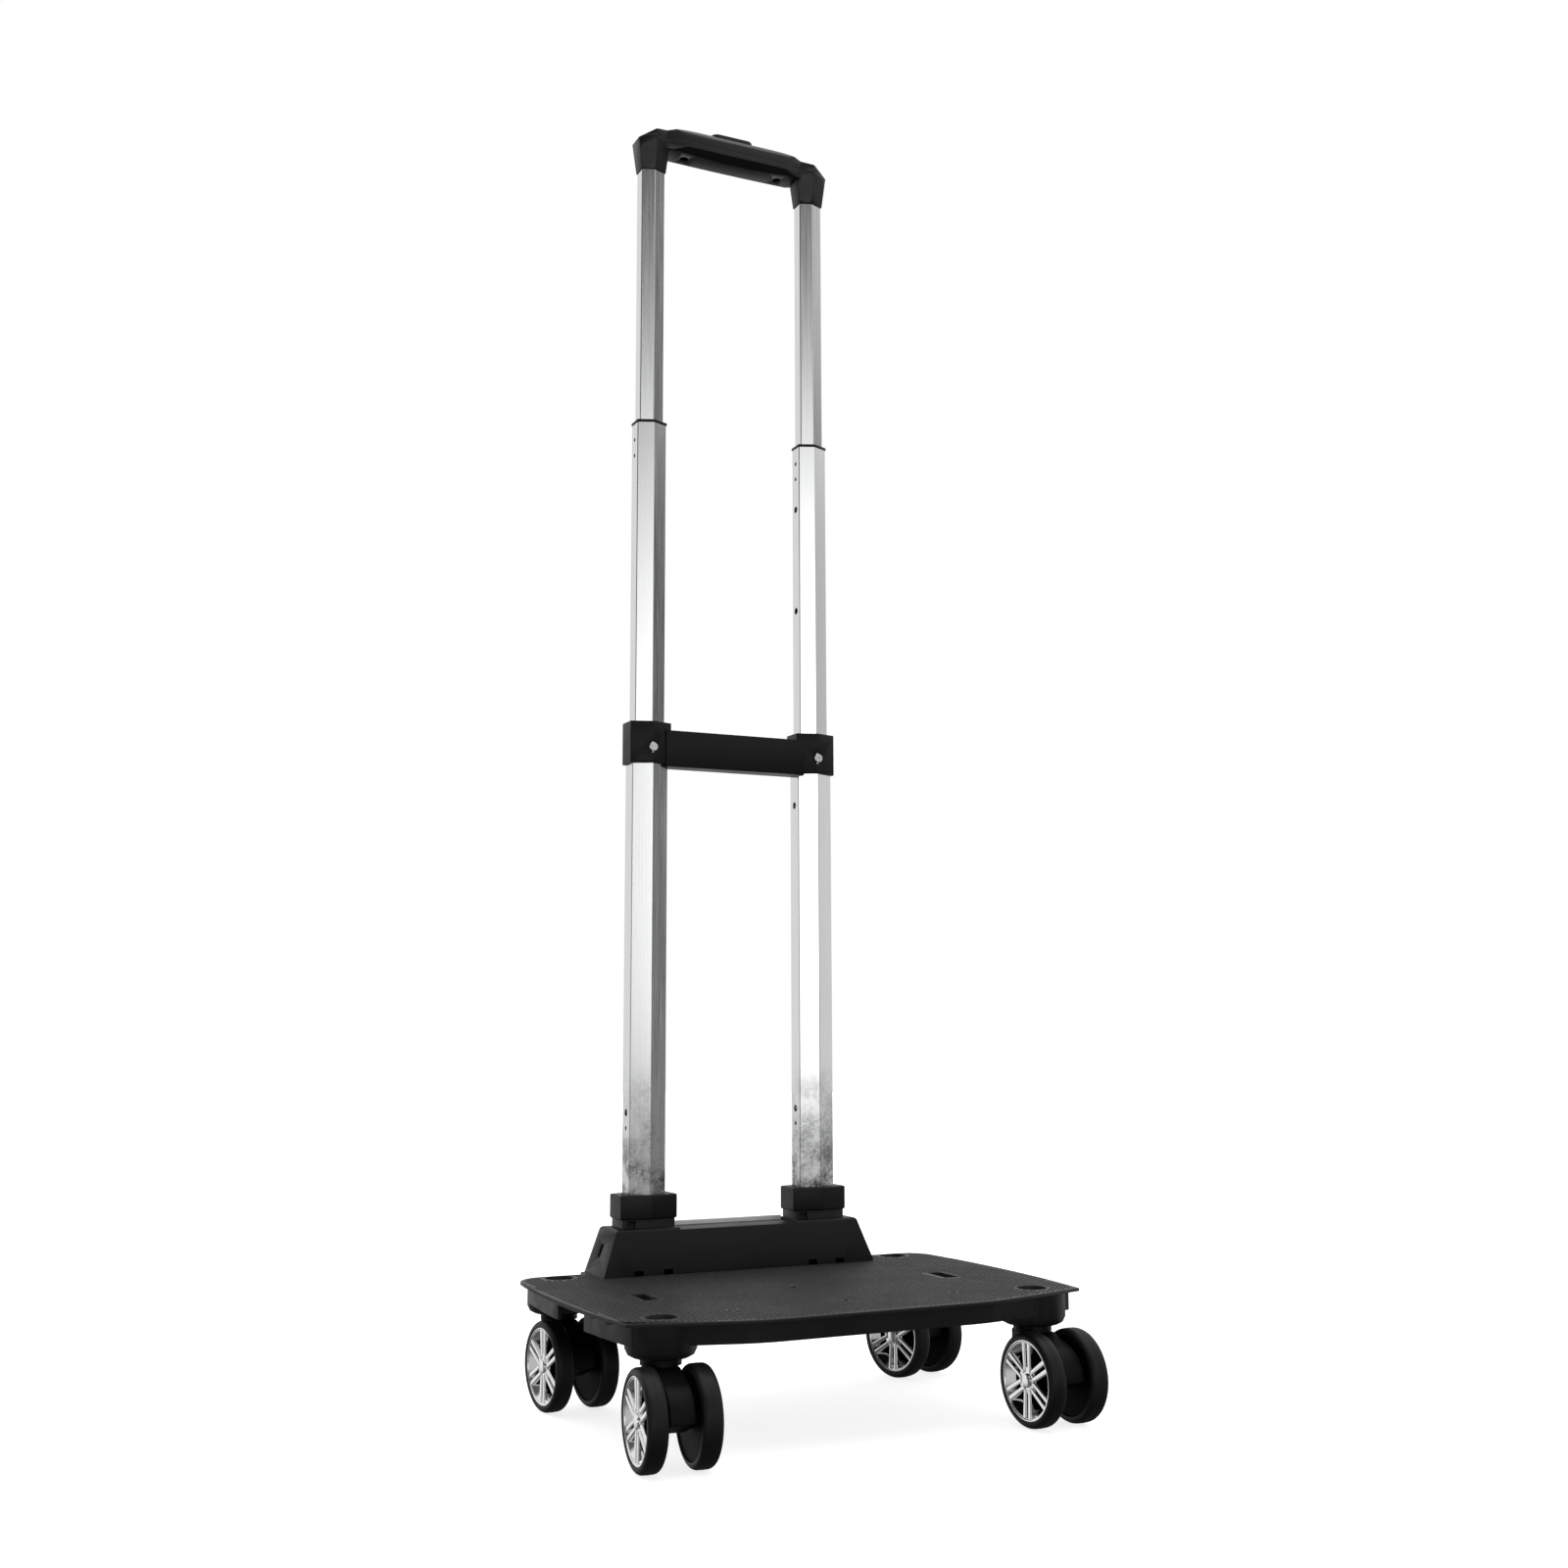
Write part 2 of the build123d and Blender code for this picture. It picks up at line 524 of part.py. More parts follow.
def lock_pins(size, z):
    """Round-nosed pins that lock a stage, held back flush with the outside of their tubes."""
    with BuildPart() as pins:
        for side in SIDES.values():
            with Locations((side * (TUBE_X - size[0] + LOCK_PIN_LONG), TUBE_Y, z)):
                Cylinder(LOCK_PIN_R, LOCK_PIN_LONG, rotation=(0, -90 * side, 0),
                         align=(Align.CENTER, Align.CENTER, Align.MIN))
        noses = pins.faces().filter_by(Axis.X).sort_by(lambda face: abs(face.center().X))[:2]
        chamfer(noses.edges(), length=0.8)
    return pins


ROD_BORE_R = ROD_R + 0.4
save(lock_blocks(MIDDLE_TUBE, MIDDLE_WALL, MIDDLE_LOCK_Z, ROD_BORE_R), "middle_lock_blocks")
save(lock_pins(MIDDLE_TUBE, MIDDLE_LOCK_Z), "middle_lock_pins")
save(lock_blocks(INNER_TUBE, INNER_WALL, INNER_LOCK_Z, ROD_BORE_R), "inner_lock_blocks")
save(lock_pins(INNER_TUBE, INNER_LOCK_Z), "inner_lock_pins")

# ---- brace ---------------------------------------------------------------------------

with BuildPart() as brace:
    with Locations((0, BAR_FRONT_Y, BAR_FOOT)):
        Box(2 * BAR_HALF, BAR_DEEP, BAR_HEAD - BAR_FOOT, align=(Align.CENTER, Align.MIN, Align.MIN))
    with Locations((0, BAR_FRONT_Y + BAR_WALL, BAR_FOOT + BAR_WALL)):
        Box(2 * (TUBE_X - CLAMP[0] - BAR_WALL), BAR_DEEP, BAR_HEAD - BAR_FOOT - 2 * BAR_WALL,
            align=(Align.CENTER, Align.MIN, Align.MIN), mode=Mode.SUBTRACT)
    for x in (-TUBE_X, TUBE_X):
        with BuildSketch(at_tube(x, CLAMP_FOOT)) as clamp:
            Polygon(*hexagon(CLAMP), align=None)
            fillet(clamp.vertices(), radius=1.0)
        extrude(amount=CLAMP_HEAD - CLAMP_FOOT)
    for x in (-TUBE_X, TUBE_X):
        with BuildSketch(at_tube(x, BAR_FOOT)):
            Polygon(*hexagon(OUTER_TUBE, SEAT_GAP), align=None)
        extrude(amount=CLAMP_HEAD - BAR_FOOT, mode=Mode.SUBTRACT)
        with Locations((x, TUBE_Y - CLAMP[1] - CLAMP[2] + BRACE_SCREW_RECESS, BRACE_SCREW_Z)):
            Cylinder(BRACE_SCREW_RECESS_R, 3 * BRACE_SCREW_RECESS, rotation=(90, 0, 0),
                     align=(Align.CENTER, Align.CENTER, Align.MIN), mode=Mode.SUBTRACT)
save(brace, "brace")

with BuildPart() as brace_screws:
    for x in (-TUBE_X, TUBE_X):
        with Locations((x, TUBE_Y - OUTER_TUBE[1] - OUTER_TUBE[2], BRACE_SCREW_Z)):
            Cylinder(BRACE_SCREW_HEAD_R, BRACE_SCREW_RECESS, rotation=(90, 0, 0),
                     align=(Align.CENTER, Align.CENTER, Align.MIN))
    fillet(brace_screws.faces().sort_by(Axis.Y)[:2].edges(), radius=0.6)
    for x in (-TUBE_X, TUBE_X):
        with Locations((x, TUBE_Y - OUTER_TUBE[1] - OUTER_TUBE[2] - BRACE_SCREW_RECESS, BRACE_SCREW_Z)):
            for turn in (0, 90):
                Box(0.8, 1.6, 3.8, rotation=(0, turn, 0), mode=Mode.SUBTRACT)
save(brace_screws, "brace_screws")

# ---- grip ----------------------------------------------------------------------------

def grip_form():
    """Outer form of the whole grip: crowned bar, with a faceted socket and a sloping shoulder at each end."""
    with BuildPart() as form:
        low, high = GRIP_BAND
        with BuildSketch(Plane(origin=(-GRIP_BAR_HALF, TUBE_Y, 0), x_dir=(0, 1, 0), z_dir=(1, 0, 0))):
            with BuildLine():
                rear_sole = Line((GRIP_SOLE_HALF, GRIP_BOTTOM_MID), (GRIP_HALF_DEEP, low))
                rear = Line(rear_sole @ 1, (GRIP_HALF_DEEP, high))
                crown = ThreePointArc(rear @ 1, (0, GRIP_TOP_MID), (-GRIP_HALF_DEEP, high))
                front = Line(crown @ 1, (-GRIP_HALF_DEEP, low))
                front_sole = Line(front @ 1, (-GRIP_SOLE_HALF, GRIP_BOTTOM_MID))
                Line(front_sole @ 1, rear_sole @ 0)
            make_face()
        extrude(amount=2 * GRIP_BAR_HALF)
        with BuildSketch(at_tube(0, GRIP_BOTTOM_MID)):
            quarter = [(GRIP_BAR_HALF, GRIP_END_DEEP), (GRIP_TAPER_X, GRIP_HALF_DEEP)]
            rear_half = quarter + [(-x, y) for x, y in reversed(quarter)]
            Polygon(*rear_half, *[(x, -y) for x, y in reversed(rear_half)], align=None)
        extrude(amount=GRIP_TOP_MID - GRIP_BOTTOM_MID, mode=Mode.INTERSECT)
        for x in (-TUBE_X, TUBE_X):
            with BuildSketch(at_tube(x, CAP_WAIST_Z)):
                Polygon(*hexagon(CAP_WAIST), align=None)
            extrude(amount=GRIP_TOP_MID - CAP_WAIST_Z)
        with BuildSketch(Plane.XZ.offset(-TUBE_Y)):
            with BuildLine():
                top = ThreePointArc((-GRIP_TOP_HALF, GRIP_TOP_END), (0, GRIP_TOP_MID),
                                    (GRIP_TOP_HALF, GRIP_TOP_END))
                slope = Line(top @ 1, (GRIP_HALF, CAP_WAIST_Z))
                right = Line(slope @ 1, (GRIP_HALF, GRIP_BOTTOM_END))
                sole = ThreePointArc(right @ 1, (0, GRIP_BOTTOM_MID), (-GRIP_HALF, GRIP_BOTTOM_END))
                left = Line(sole @ 1, (-GRIP_HALF, CAP_WAIST_Z))
                Line(left @ 1, top @ 0)
            make_face()
        extrude(amount=GRIP_HALF_DEEP, both=True, mode=Mode.INTERSECT)
        for x in (-TUBE_X, TUBE_X):
            with BuildSketch(at_tube(x, CAP_Z)):
                Polygon(*hexagon(CAP_FOOT), align=None)
            with BuildSketch(at_tube(x, CAP_WAIST_Z)):
                Polygon(*hexagon(CAP_WAIST), align=None)
            loft()
    return form.part


BAR_WELL = (RELEASE_BAR[0] + 2 * BUTTON_GAP, RELEASE_BAR[1] + 2 * BUTTON_GAP)

with BuildPart() as grip_body:
    add(grip_form())
    split(bisect_by=Plane.XY.offset(GRIP_SPLIT), keep=Keep.BOTTOM)
    with Locations((0, TUBE_Y, BAR_FLOOR)):
        Box(*BAR_WELL, GRIP_SPLIT - BAR_FLOOR, align=(Align.CENTER, Align.CENTER, Align.MIN),
            mode=Mode.SUBTRACT)
    with Locations((-SPRING_X, TUBE_Y, SPRING_FOOT), (SPRING_X, TUBE_Y, SPRING_FOOT)):
        Cylinder(SPRING_WELL_R, GRIP_SPLIT - SPRING_FOOT, align=(Align.CENTER, Align.CENTER, Align.MIN),
                 mode=Mode.SUBTRACT)
    for x in (-TUBE_X, TUBE_X):
        with BuildSketch(at_tube(x, CAP_Z)):
            Polygon(*hexagon(INNER_TUBE, SEAT_GAP), align=None)
        extrude(amount=INNER_HEAD - CAP_Z, mode=Mode.SUBTRACT)
        with BuildSketch(at_tube(x, INNER_HEAD)):
            Circle(RELEASE_BAR[1] / 2)
        extrude(amount=BAR_FLOOR - INNER_HEAD, mode=Mode.SUBTRACT)
    for x in (-GRIP_SCREW_X, GRIP_SCREW_X):
        with Locations((x, TUBE_Y, GRIP_SCREW_TOP)):
            Cylinder(GRIP_SCREW_RECESS_R, GRIP_SCREW_TOP - GRIP_BOTTOM_MID,
                     align=(Align.CENTER, Align.CENTER, Align.MAX), mode=Mode.SUBTRACT)
save(grip_body, "grip_body")

with BuildPart() as grip_cover:
    add(grip_form())
    split(bisect_by=Plane.XY.offset(GRIP_SPLIT), keep=Keep.TOP)
    with Locations((0, TUBE_Y, GRIP_SPLIT)):
        Box(2 * BUTTON_WELL_HALF, BAR_WELL[1], BUTTON_FOOT + 1 - GRIP_SPLIT,
            align=(Align.CENTER, Align.CENTER, Align.MIN), mode=Mode.SUBTRACT)
        Box(*BAR_WELL, BAR_LOW + RELEASE_BAR[2] + RELEASE_BAR_GAP - GRIP_SPLIT,
            align=(Align.CENTER, Align.CENTER, Align.MIN), mode=Mode.SUBTRACT)
    with BuildSketch(Plane(origin=(0, TUBE_Y, GRIP_SPLIT))):
        SlotOverall(BUTTON[0] + 2 * BUTTON_GAP, BUTTON[1] + 2 * BUTTON_GAP)
    extrude(amount=2 * GRIP_HALF_DEEP, mode=Mode.SUBTRACT)
save(grip_cover, "grip_cover")

with BuildPart() as grip_screws:
    for x in (-GRIP_SCREW_X, GRIP_SCREW_X):
        with Locations((x, TUBE_Y, GRIP_SCREW_TOP)):
            Cylinder(GRIP_SCREW_HEAD_R, GRIP_SCREW_HEAD, align=(Align.CENTER, Align.CENTER, Align.MAX))
save(grip_screws, "grip_screws")

with BuildPart() as push_button:
    with BuildSketch(Plane(origin=(0, TUBE_Y, BUTTON_FOOT))):
        SlotOverall(*BUTTON)
    extrude(amount=BUTTON_TOP - BUTTON_FOOT)
    fillet(push_button.faces().sort_by(Axis.Z)[-1].edges(), radius=1.4)
save(push_button, "push_button")

with BuildPart() as release_bar:
    with Locations((0, TUBE_Y, BAR_LOW)):
        Box(*RELEASE_BAR, align=(Align.CENTER, Align.CENTER, Align.MIN))
        Box(BUTTON[0] - 4, RELEASE_BAR[1], BUTTON_FOOT - BAR_LOW,
            align=(Align.CENTER, Align.CENTER, Align.MIN))
save(release_bar, "release_bar")

with BuildPart() as release_rods:
    with Locations(*[(x, TUBE_Y, ROD_FOOT) for x in (-TUBE_X, TUBE_X)]):
        Cylinder(ROD_R, BAR_LOW - ROD_FOOT, align=(Align.CENTER, Align.CENTER, Align.MIN))
save(release_rods, "release_rods")

with BuildPart() as button_springs:
    for x in (-SPRING_X, SPRING_X):
        foot = (x, TUBE_Y, SPRING_FOOT + SPRING_WIRE_R)
        rise = BAR_LOW - SPRING_FOOT - 2 * SPRING_WIRE_R
        with BuildLine() as coil:
            Helix(rise / SPRING_TURNS, rise, SPRING_R - SPRING_WIRE_R, center=foot)
        with BuildSketch(Plane(origin=coil.line @ 0, z_dir=coil.line % 0)):
            Circle(SPRING_WIRE_R)
        sweep(path=coil.line, is_frenet=True)
save(button_springs, "button_springs")

# ---- casters -------------------------------------------------------------------------

def make_caster(name):
    """One twin-wheel caster: housing, axle and two wheels of tyre, core and bright trim."""
    pivot_x, pivot_y = pivot(name)
    heading = math.radians(CASTERS[name][2])
    back = Vector(-math.sin(heading), math.cos(heading), 0)     # from the axle to the kingpin
    left = Vector(-math.cos(heading), -math.sin(heading), 0)    # along the axle
    up = Vector(0, 0, 1)
    axle_at = Vector(pivot_x, pivot_y, WHEEL_R) - back * TRAIL
    middle = Plane(origin=axle_at, x_dir=back, z_dir=back.cross(up))

    with BuildPart() as housing:
        with BuildSketch(middle):
            with BuildLine():
                arch = CenterArc((0, 0), HOUSING_R, 0, 180)
                Line(arch @ 1, arch @ 0)
            make_face()
            Circle(AXLE_BOSS_R)
            with Locations((TRAIL, NECK_FOOT - WHEEL_R - SHOULDER_HIGH / 2)):
                Rectangle(2 * NECK_R, SHOULDER_HIGH)
            make_hull()
        extrude(amount=HOUSING_HALF, both=True)
        chamfer(housing.faces().filter_by(middle).edges(), length=1.2)
        with BuildSketch(middle):
            Circle(AXLE_BOSS_R - 1.4)
        extrude(amount=AXLE_BOSS_HALF, both=True)
        with BuildSketch(Plane(origin=(pivot_x, pivot_y, NECK_FOOT))):
            Circle(NECK_R)
        extrude(amount=NECK_HEAD - NECK_FOOT)
        with BuildSketch(Plane(origin=(pivot_x, pivot_y, KINGPIN_FOOT - 1))):
            Circle(KINGPIN_R + RUNNING_GAP)
        extrude(amount=NECK_HEAD - KINGPIN_FOOT + 2, mode=Mode.SUBTRACT)
        with BuildSketch(middle):
            Circle(AXLE_R)
        extrude(amount=AXLE_HALF, both=True, mode=Mode.SUBTRACT)
    save(housing, f"caster_housing_{name}")

    with BuildPart() as axle:
        with BuildSketch(middle):
            Circle(AXLE_R)
        extrude(amount=AXLE_HALF, both=True)
        chamfer(axle.edges().filter_by(GeomType.CIRCLE), length=0.5)
    save(axle, f"caster_axle_{name}")

    for hand, outward in (("left", left), ("right", -left)):
        make_wheel(f"{name}_{hand}", axle_at, outward, up)


def make_wheel(name, axle_at, outward, up):
    spin = Axis(axle_at, outward)
    radial = Plane(origin=axle_at, x_dir=up, z_dir=up.cross(outward))    # x = radius, y = along the axle

    with BuildPart() as tyre:
        with BuildSketch(radial) as ring:
            with BuildLine():
                Polyline((TYRE_BORE_R, WHEEL_INNER), (WHEEL_R, WHEEL_INNER), (WHEEL_R, RIM_SEAT),
                         (TYRE_BORE_R, RIM_SEAT), close=True)
            make_face()
            fillet(ring.vertices().sort_by(Axis.X)[-2:], radius=TREAD_SHOULDER_R)
        revolve(axis=spin)
    save(tyre, f"tyre_{name}")

    with BuildPart() as core:
        with BuildSketch(radial):
            with BuildLine():
                Polyline((AXLE_R + RUNNING_GAP, WHEEL_INNER), (CORE_HUB_R, WHEEL_INNER),
                         (CORE_HUB_R + CORE_RECESS, WHEEL_INNER + CORE_RECESS),
                         (CORE_DRUM_R, WHEEL_INNER + CORE_RECESS), (CORE_R, WHEEL_INNER + CORE_RECESS),
                         (CORE_R, SPOKE_BACK), (CORE_DRUM_R, SPOKE_BACK),
                         (CORE_DRUM_R, WHEEL_INNER + CORE_RECESS + CORE_PLATE),
                         (CORE_HUB_R, WHEEL_INNER + CORE_RECESS + CORE_PLATE), (CORE_HUB_R, SPOKE_BACK),
                         (AXLE_R + RUNNING_GAP, SPOKE_BACK), close=True)
            make_face()
        revolve(axis=spin)
    save(core, f"wheel_core_{name}")

    with BuildPart() as trim:
        with BuildSketch(radial):
            with BuildLine():
                Polyline((0, SPOKE_BACK), (CORE_R, SPOKE_BACK), (CORE_R, RIM_SEAT), (RIM_LIP_R, RIM_SEAT),
                         (RIM_LIP_R, WHEEL_OUTER - LIP_ROUND), (RIM_LIP_R - LIP_ROUND, WHEEL_OUTER),
                         (RIM_LIP_INNER_R + LIP_ROUND, WHEEL_OUTER), (RIM_LIP_INNER_R, SPOKE_FACE),
                         (HUB_R, SPOKE_FACE), (HUB_R - LIP_ROUND, WHEEL_OUTER), (0, WHEEL_OUTER), close=True)
            make_face()
        revolve(axis=spin)
        with BuildSketch(Plane(origin=axle_at + outward * WHEEL_OUTER, x_dir=up, z_dir=outward)):
            Circle(WINDOW_R[1])
            Circle(WINDOW_R[0], mode=Mode.SUBTRACT)
            with PolarLocations(WINDOW_R[1] / 2, SPOKE_PAIRS):
                Rectangle(1.2 * WINDOW_R[1], SPOKE_BAND, mode=Mode.SUBTRACT)
            with PolarLocations((HUB_R + WINDOW_R[1]) / 2 + 1, SPOKE_PAIRS):
                SlotOverall(WINDOW_R[1] - HUB_R - 4, SPOKE_SLOT)
        extrude(amount=SPOKE_BACK - WHEEL_OUTER, mode=Mode.SUBTRACT)
    save(trim, f"wheel_trim_{name}")


for caster_name in CASTERS:
    make_caster(caster_name)

# steel pins that the casters turn on, each with a thrust flange under its boss
with BuildPart() as kingpins:
    for caster_name in CASTERS:
        x, y = pivot(caster_name)
        with Locations((x, y, KINGPIN_FOOT)):
            Cylinder(KINGPIN_R, KINGPIN_HEAD - KINGPIN_FOOT, align=(Align.CENTER, Align.CENTER, Align.MIN))
        with Locations((x, y, THRUST_Z)):
            Cylinder(THRUST_R, BOSS_Z - THRUST_Z, align=(Align.CENTER, Align.CENTER, Align.MIN))
save(kingpins, "kingpins")
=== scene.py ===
import json
import math

import bmesh
import bpy
from mathutils import Matrix, Vector


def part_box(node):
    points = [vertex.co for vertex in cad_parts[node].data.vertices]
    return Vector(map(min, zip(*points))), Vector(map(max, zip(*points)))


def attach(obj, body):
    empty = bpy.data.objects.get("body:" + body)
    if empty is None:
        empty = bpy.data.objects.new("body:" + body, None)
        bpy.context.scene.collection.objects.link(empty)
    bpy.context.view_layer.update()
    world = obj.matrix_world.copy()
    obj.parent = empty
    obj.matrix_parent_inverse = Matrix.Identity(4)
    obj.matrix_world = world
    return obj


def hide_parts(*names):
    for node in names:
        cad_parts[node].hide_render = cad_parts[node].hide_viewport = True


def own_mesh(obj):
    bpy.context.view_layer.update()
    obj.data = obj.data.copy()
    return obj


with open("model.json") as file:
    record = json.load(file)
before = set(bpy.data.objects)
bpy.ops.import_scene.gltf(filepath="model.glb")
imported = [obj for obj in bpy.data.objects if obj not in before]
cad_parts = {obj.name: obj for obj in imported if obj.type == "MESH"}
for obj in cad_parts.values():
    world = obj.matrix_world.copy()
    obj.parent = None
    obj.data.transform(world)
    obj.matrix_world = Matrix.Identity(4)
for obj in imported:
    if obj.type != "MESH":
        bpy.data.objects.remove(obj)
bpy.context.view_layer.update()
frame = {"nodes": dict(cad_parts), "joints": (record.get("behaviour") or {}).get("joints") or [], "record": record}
NODES = frame["nodes"]
JOINTS = {joint["name"]: joint for joint in frame["joints"]}
RECORD = frame["record"]
SLOT_OF = {part["node"]: part["material_slot"] for part in RECORD["subparts"]}
BODY_OF = {node: body for body, nodes in RECORD["behaviour"]["bodies"].items() for node in nodes}

MM = 0.001
CASTERS = ("front_left", "front_right", "rear_left", "rear_right")
HANDS = ("left", "right")
DECK_LOW, DECK_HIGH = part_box("deck")


# ---- camera ---------------------------------------------------------------------------

CAMERA_AT = Vector((-543.9, -1096.7, 256.0)) * MM
CAMERA_YAW = math.radians(25.918)       # from +Y towards +X
CAMERA_PITCH = math.radians(7.874)
CAMERA_ROLL = math.radians(-0.196)
CAMERA_LENS = 40.51
SENSOR = 36.0


def add_camera():
    forward = Vector((math.sin(CAMERA_YAW) * math.cos(CAMERA_PITCH),
                      math.cos(CAMERA_YAW) * math.cos(CAMERA_PITCH), math.sin(CAMERA_PITCH)))
    level = Vector((math.cos(CAMERA_YAW), -math.sin(CAMERA_YAW), 0))
    above = level.cross(forward)
    right = level * math.cos(CAMERA_ROLL) + above * math.sin(CAMERA_ROLL)
    up = above * math.cos(CAMERA_ROLL) - level * math.sin(CAMERA_ROLL)
    camera = bpy.data.objects.new("camera", bpy.data.cameras.new("camera"))
    camera.data.lens = CAMERA_LENS
    camera.data.sensor_width = SENSOR
    turn = Matrix((right, up, -forward)).transposed().to_4x4()
    camera.matrix_world = Matrix.Translation(CAMERA_AT) @ turn
    bpy.context.scene.collection.objects.link(camera)
    bpy.context.scene.camera = camera


# ---- materials ------------------------------------------------------------------------

MIX_A, MIX_B, MIX_COLOUR = 6, 7, 2          # colour sockets of a Mix node
MIX_LOW, MIX_HIGH, MIX_VALUE = 2, 3, 0      # value sockets of a Mix node
CLOUD_MM = 32.0                             # patches of wear and handling
DIE_LINE_MM = 0.6
DIE_LINE_STRETCH = 0.01                     # scale along the tube, which draws the lines out
SCUFF_MM = 3.0
SCUFF_PATCH_MM = 20.0
SCUFFED_FROM = 230 * MM                     # scuffs fade in from here down to the collars
SCUFFED_TO = 140 * MM
SMEAR_MM = 2.2
WAVE_MM = 5.0


def linear(hex_colour):
    """An sRGB hex colour such as "#1c1c1d" as linear RGBA."""
    values = [int(hex_colour[i:i + 2], 16) / 255 for i in (1, 3, 5)]
    return [v / 12.92 if v <= 0.04045 else ((v + 0.055) / 1.055) ** 2.4 for v in values] + [1.0]


def add_node(owner, kind, inputs, **settings):
    """Adds a shader node with its settings; each input takes a value or a link from an output."""
    node = owner.node_tree.nodes.new(kind)
    for name, value in settings.items():
        setattr(node, name, value)
    for name, value in inputs.items():
        if isinstance(value, bpy.types.NodeSocket):
            owner.node_tree.links.new(value, node.inputs[name])
        else:
            node.inputs[name].default_value = value
    return node


def start_material(name, values, coordinate_scale=(1, 1, 1)):
    """A new material with its shader's plain values set, and Object coordinates in metres."""
    material = bpy.data.materials.new(name)
    material.use_nodes = True
    shader = material.node_tree.nodes["Principled BSDF"]
    for socket, value in values.items():
        shader.inputs[socket].default_value = value
    place = add_node(material, "ShaderNodeTexCoord", {})
    mapped = add_node(material, "ShaderNodeMapping",
                      {"Vector": place.outputs["Object"], "Scale": coordinate_scale})
    return material, shader, mapped.outputs["Vector"]


def moulded_plastic(name, dark, light, roughness, grain_mm, grain_high_mm, shine):
    """Injection-moulded black plastic. The spark-eroded mould leaves an even fine grain, and
    handling leaves a faint cloudiness in colour and polish."""
    material, shader, place = start_material(name, {"Roughness": roughness, "Specular IOR Level": shine})
    link = material.node_tree.links.new
    cloud = add_node(material, "ShaderNodeTexNoise",
                     {"Vector": place, "Scale": 1 / (CLOUD_MM * MM), "Detail": 3.0, "Roughness": 0.55})
    shade = add_node(material, "ShaderNodeMapRange",
                     {"Value": cloud.outputs["Fac"], "From Min": 0.35, "From Max": 0.68})
    colour = add_node(material, "ShaderNodeMix",
                      {"Factor": shade.outputs["Result"], MIX_A: linear(dark), MIX_B: linear(light)},
                      data_type="RGBA")
    link(colour.outputs[MIX_COLOUR], shader.inputs["Base Color"])
    polish = add_node(material, "ShaderNodeMapRange",
                      {"Value": cloud.outputs["Fac"], "From Min": 0.3, "From Max": 0.7,
                       "To Min": roughness - 0.05, "To Max": roughness + 0.05})
    link(polish.outputs["Result"], shader.inputs["Roughness"])
    grain = add_node(material, "ShaderNodeTexNoise",
                     {"Vector": place, "Scale": 1 / (grain_mm * MM), "Detail": 2.0, "Roughness": 0.6})
    bump = add_node(material, "ShaderNodeBump",
                    {"Height": grain.outputs["Fac"], "Strength": 0.8, "Distance": grain_high_mm * MM})
    link(bump.outputs["Normal"], shader.inputs["Normal"])
    return material


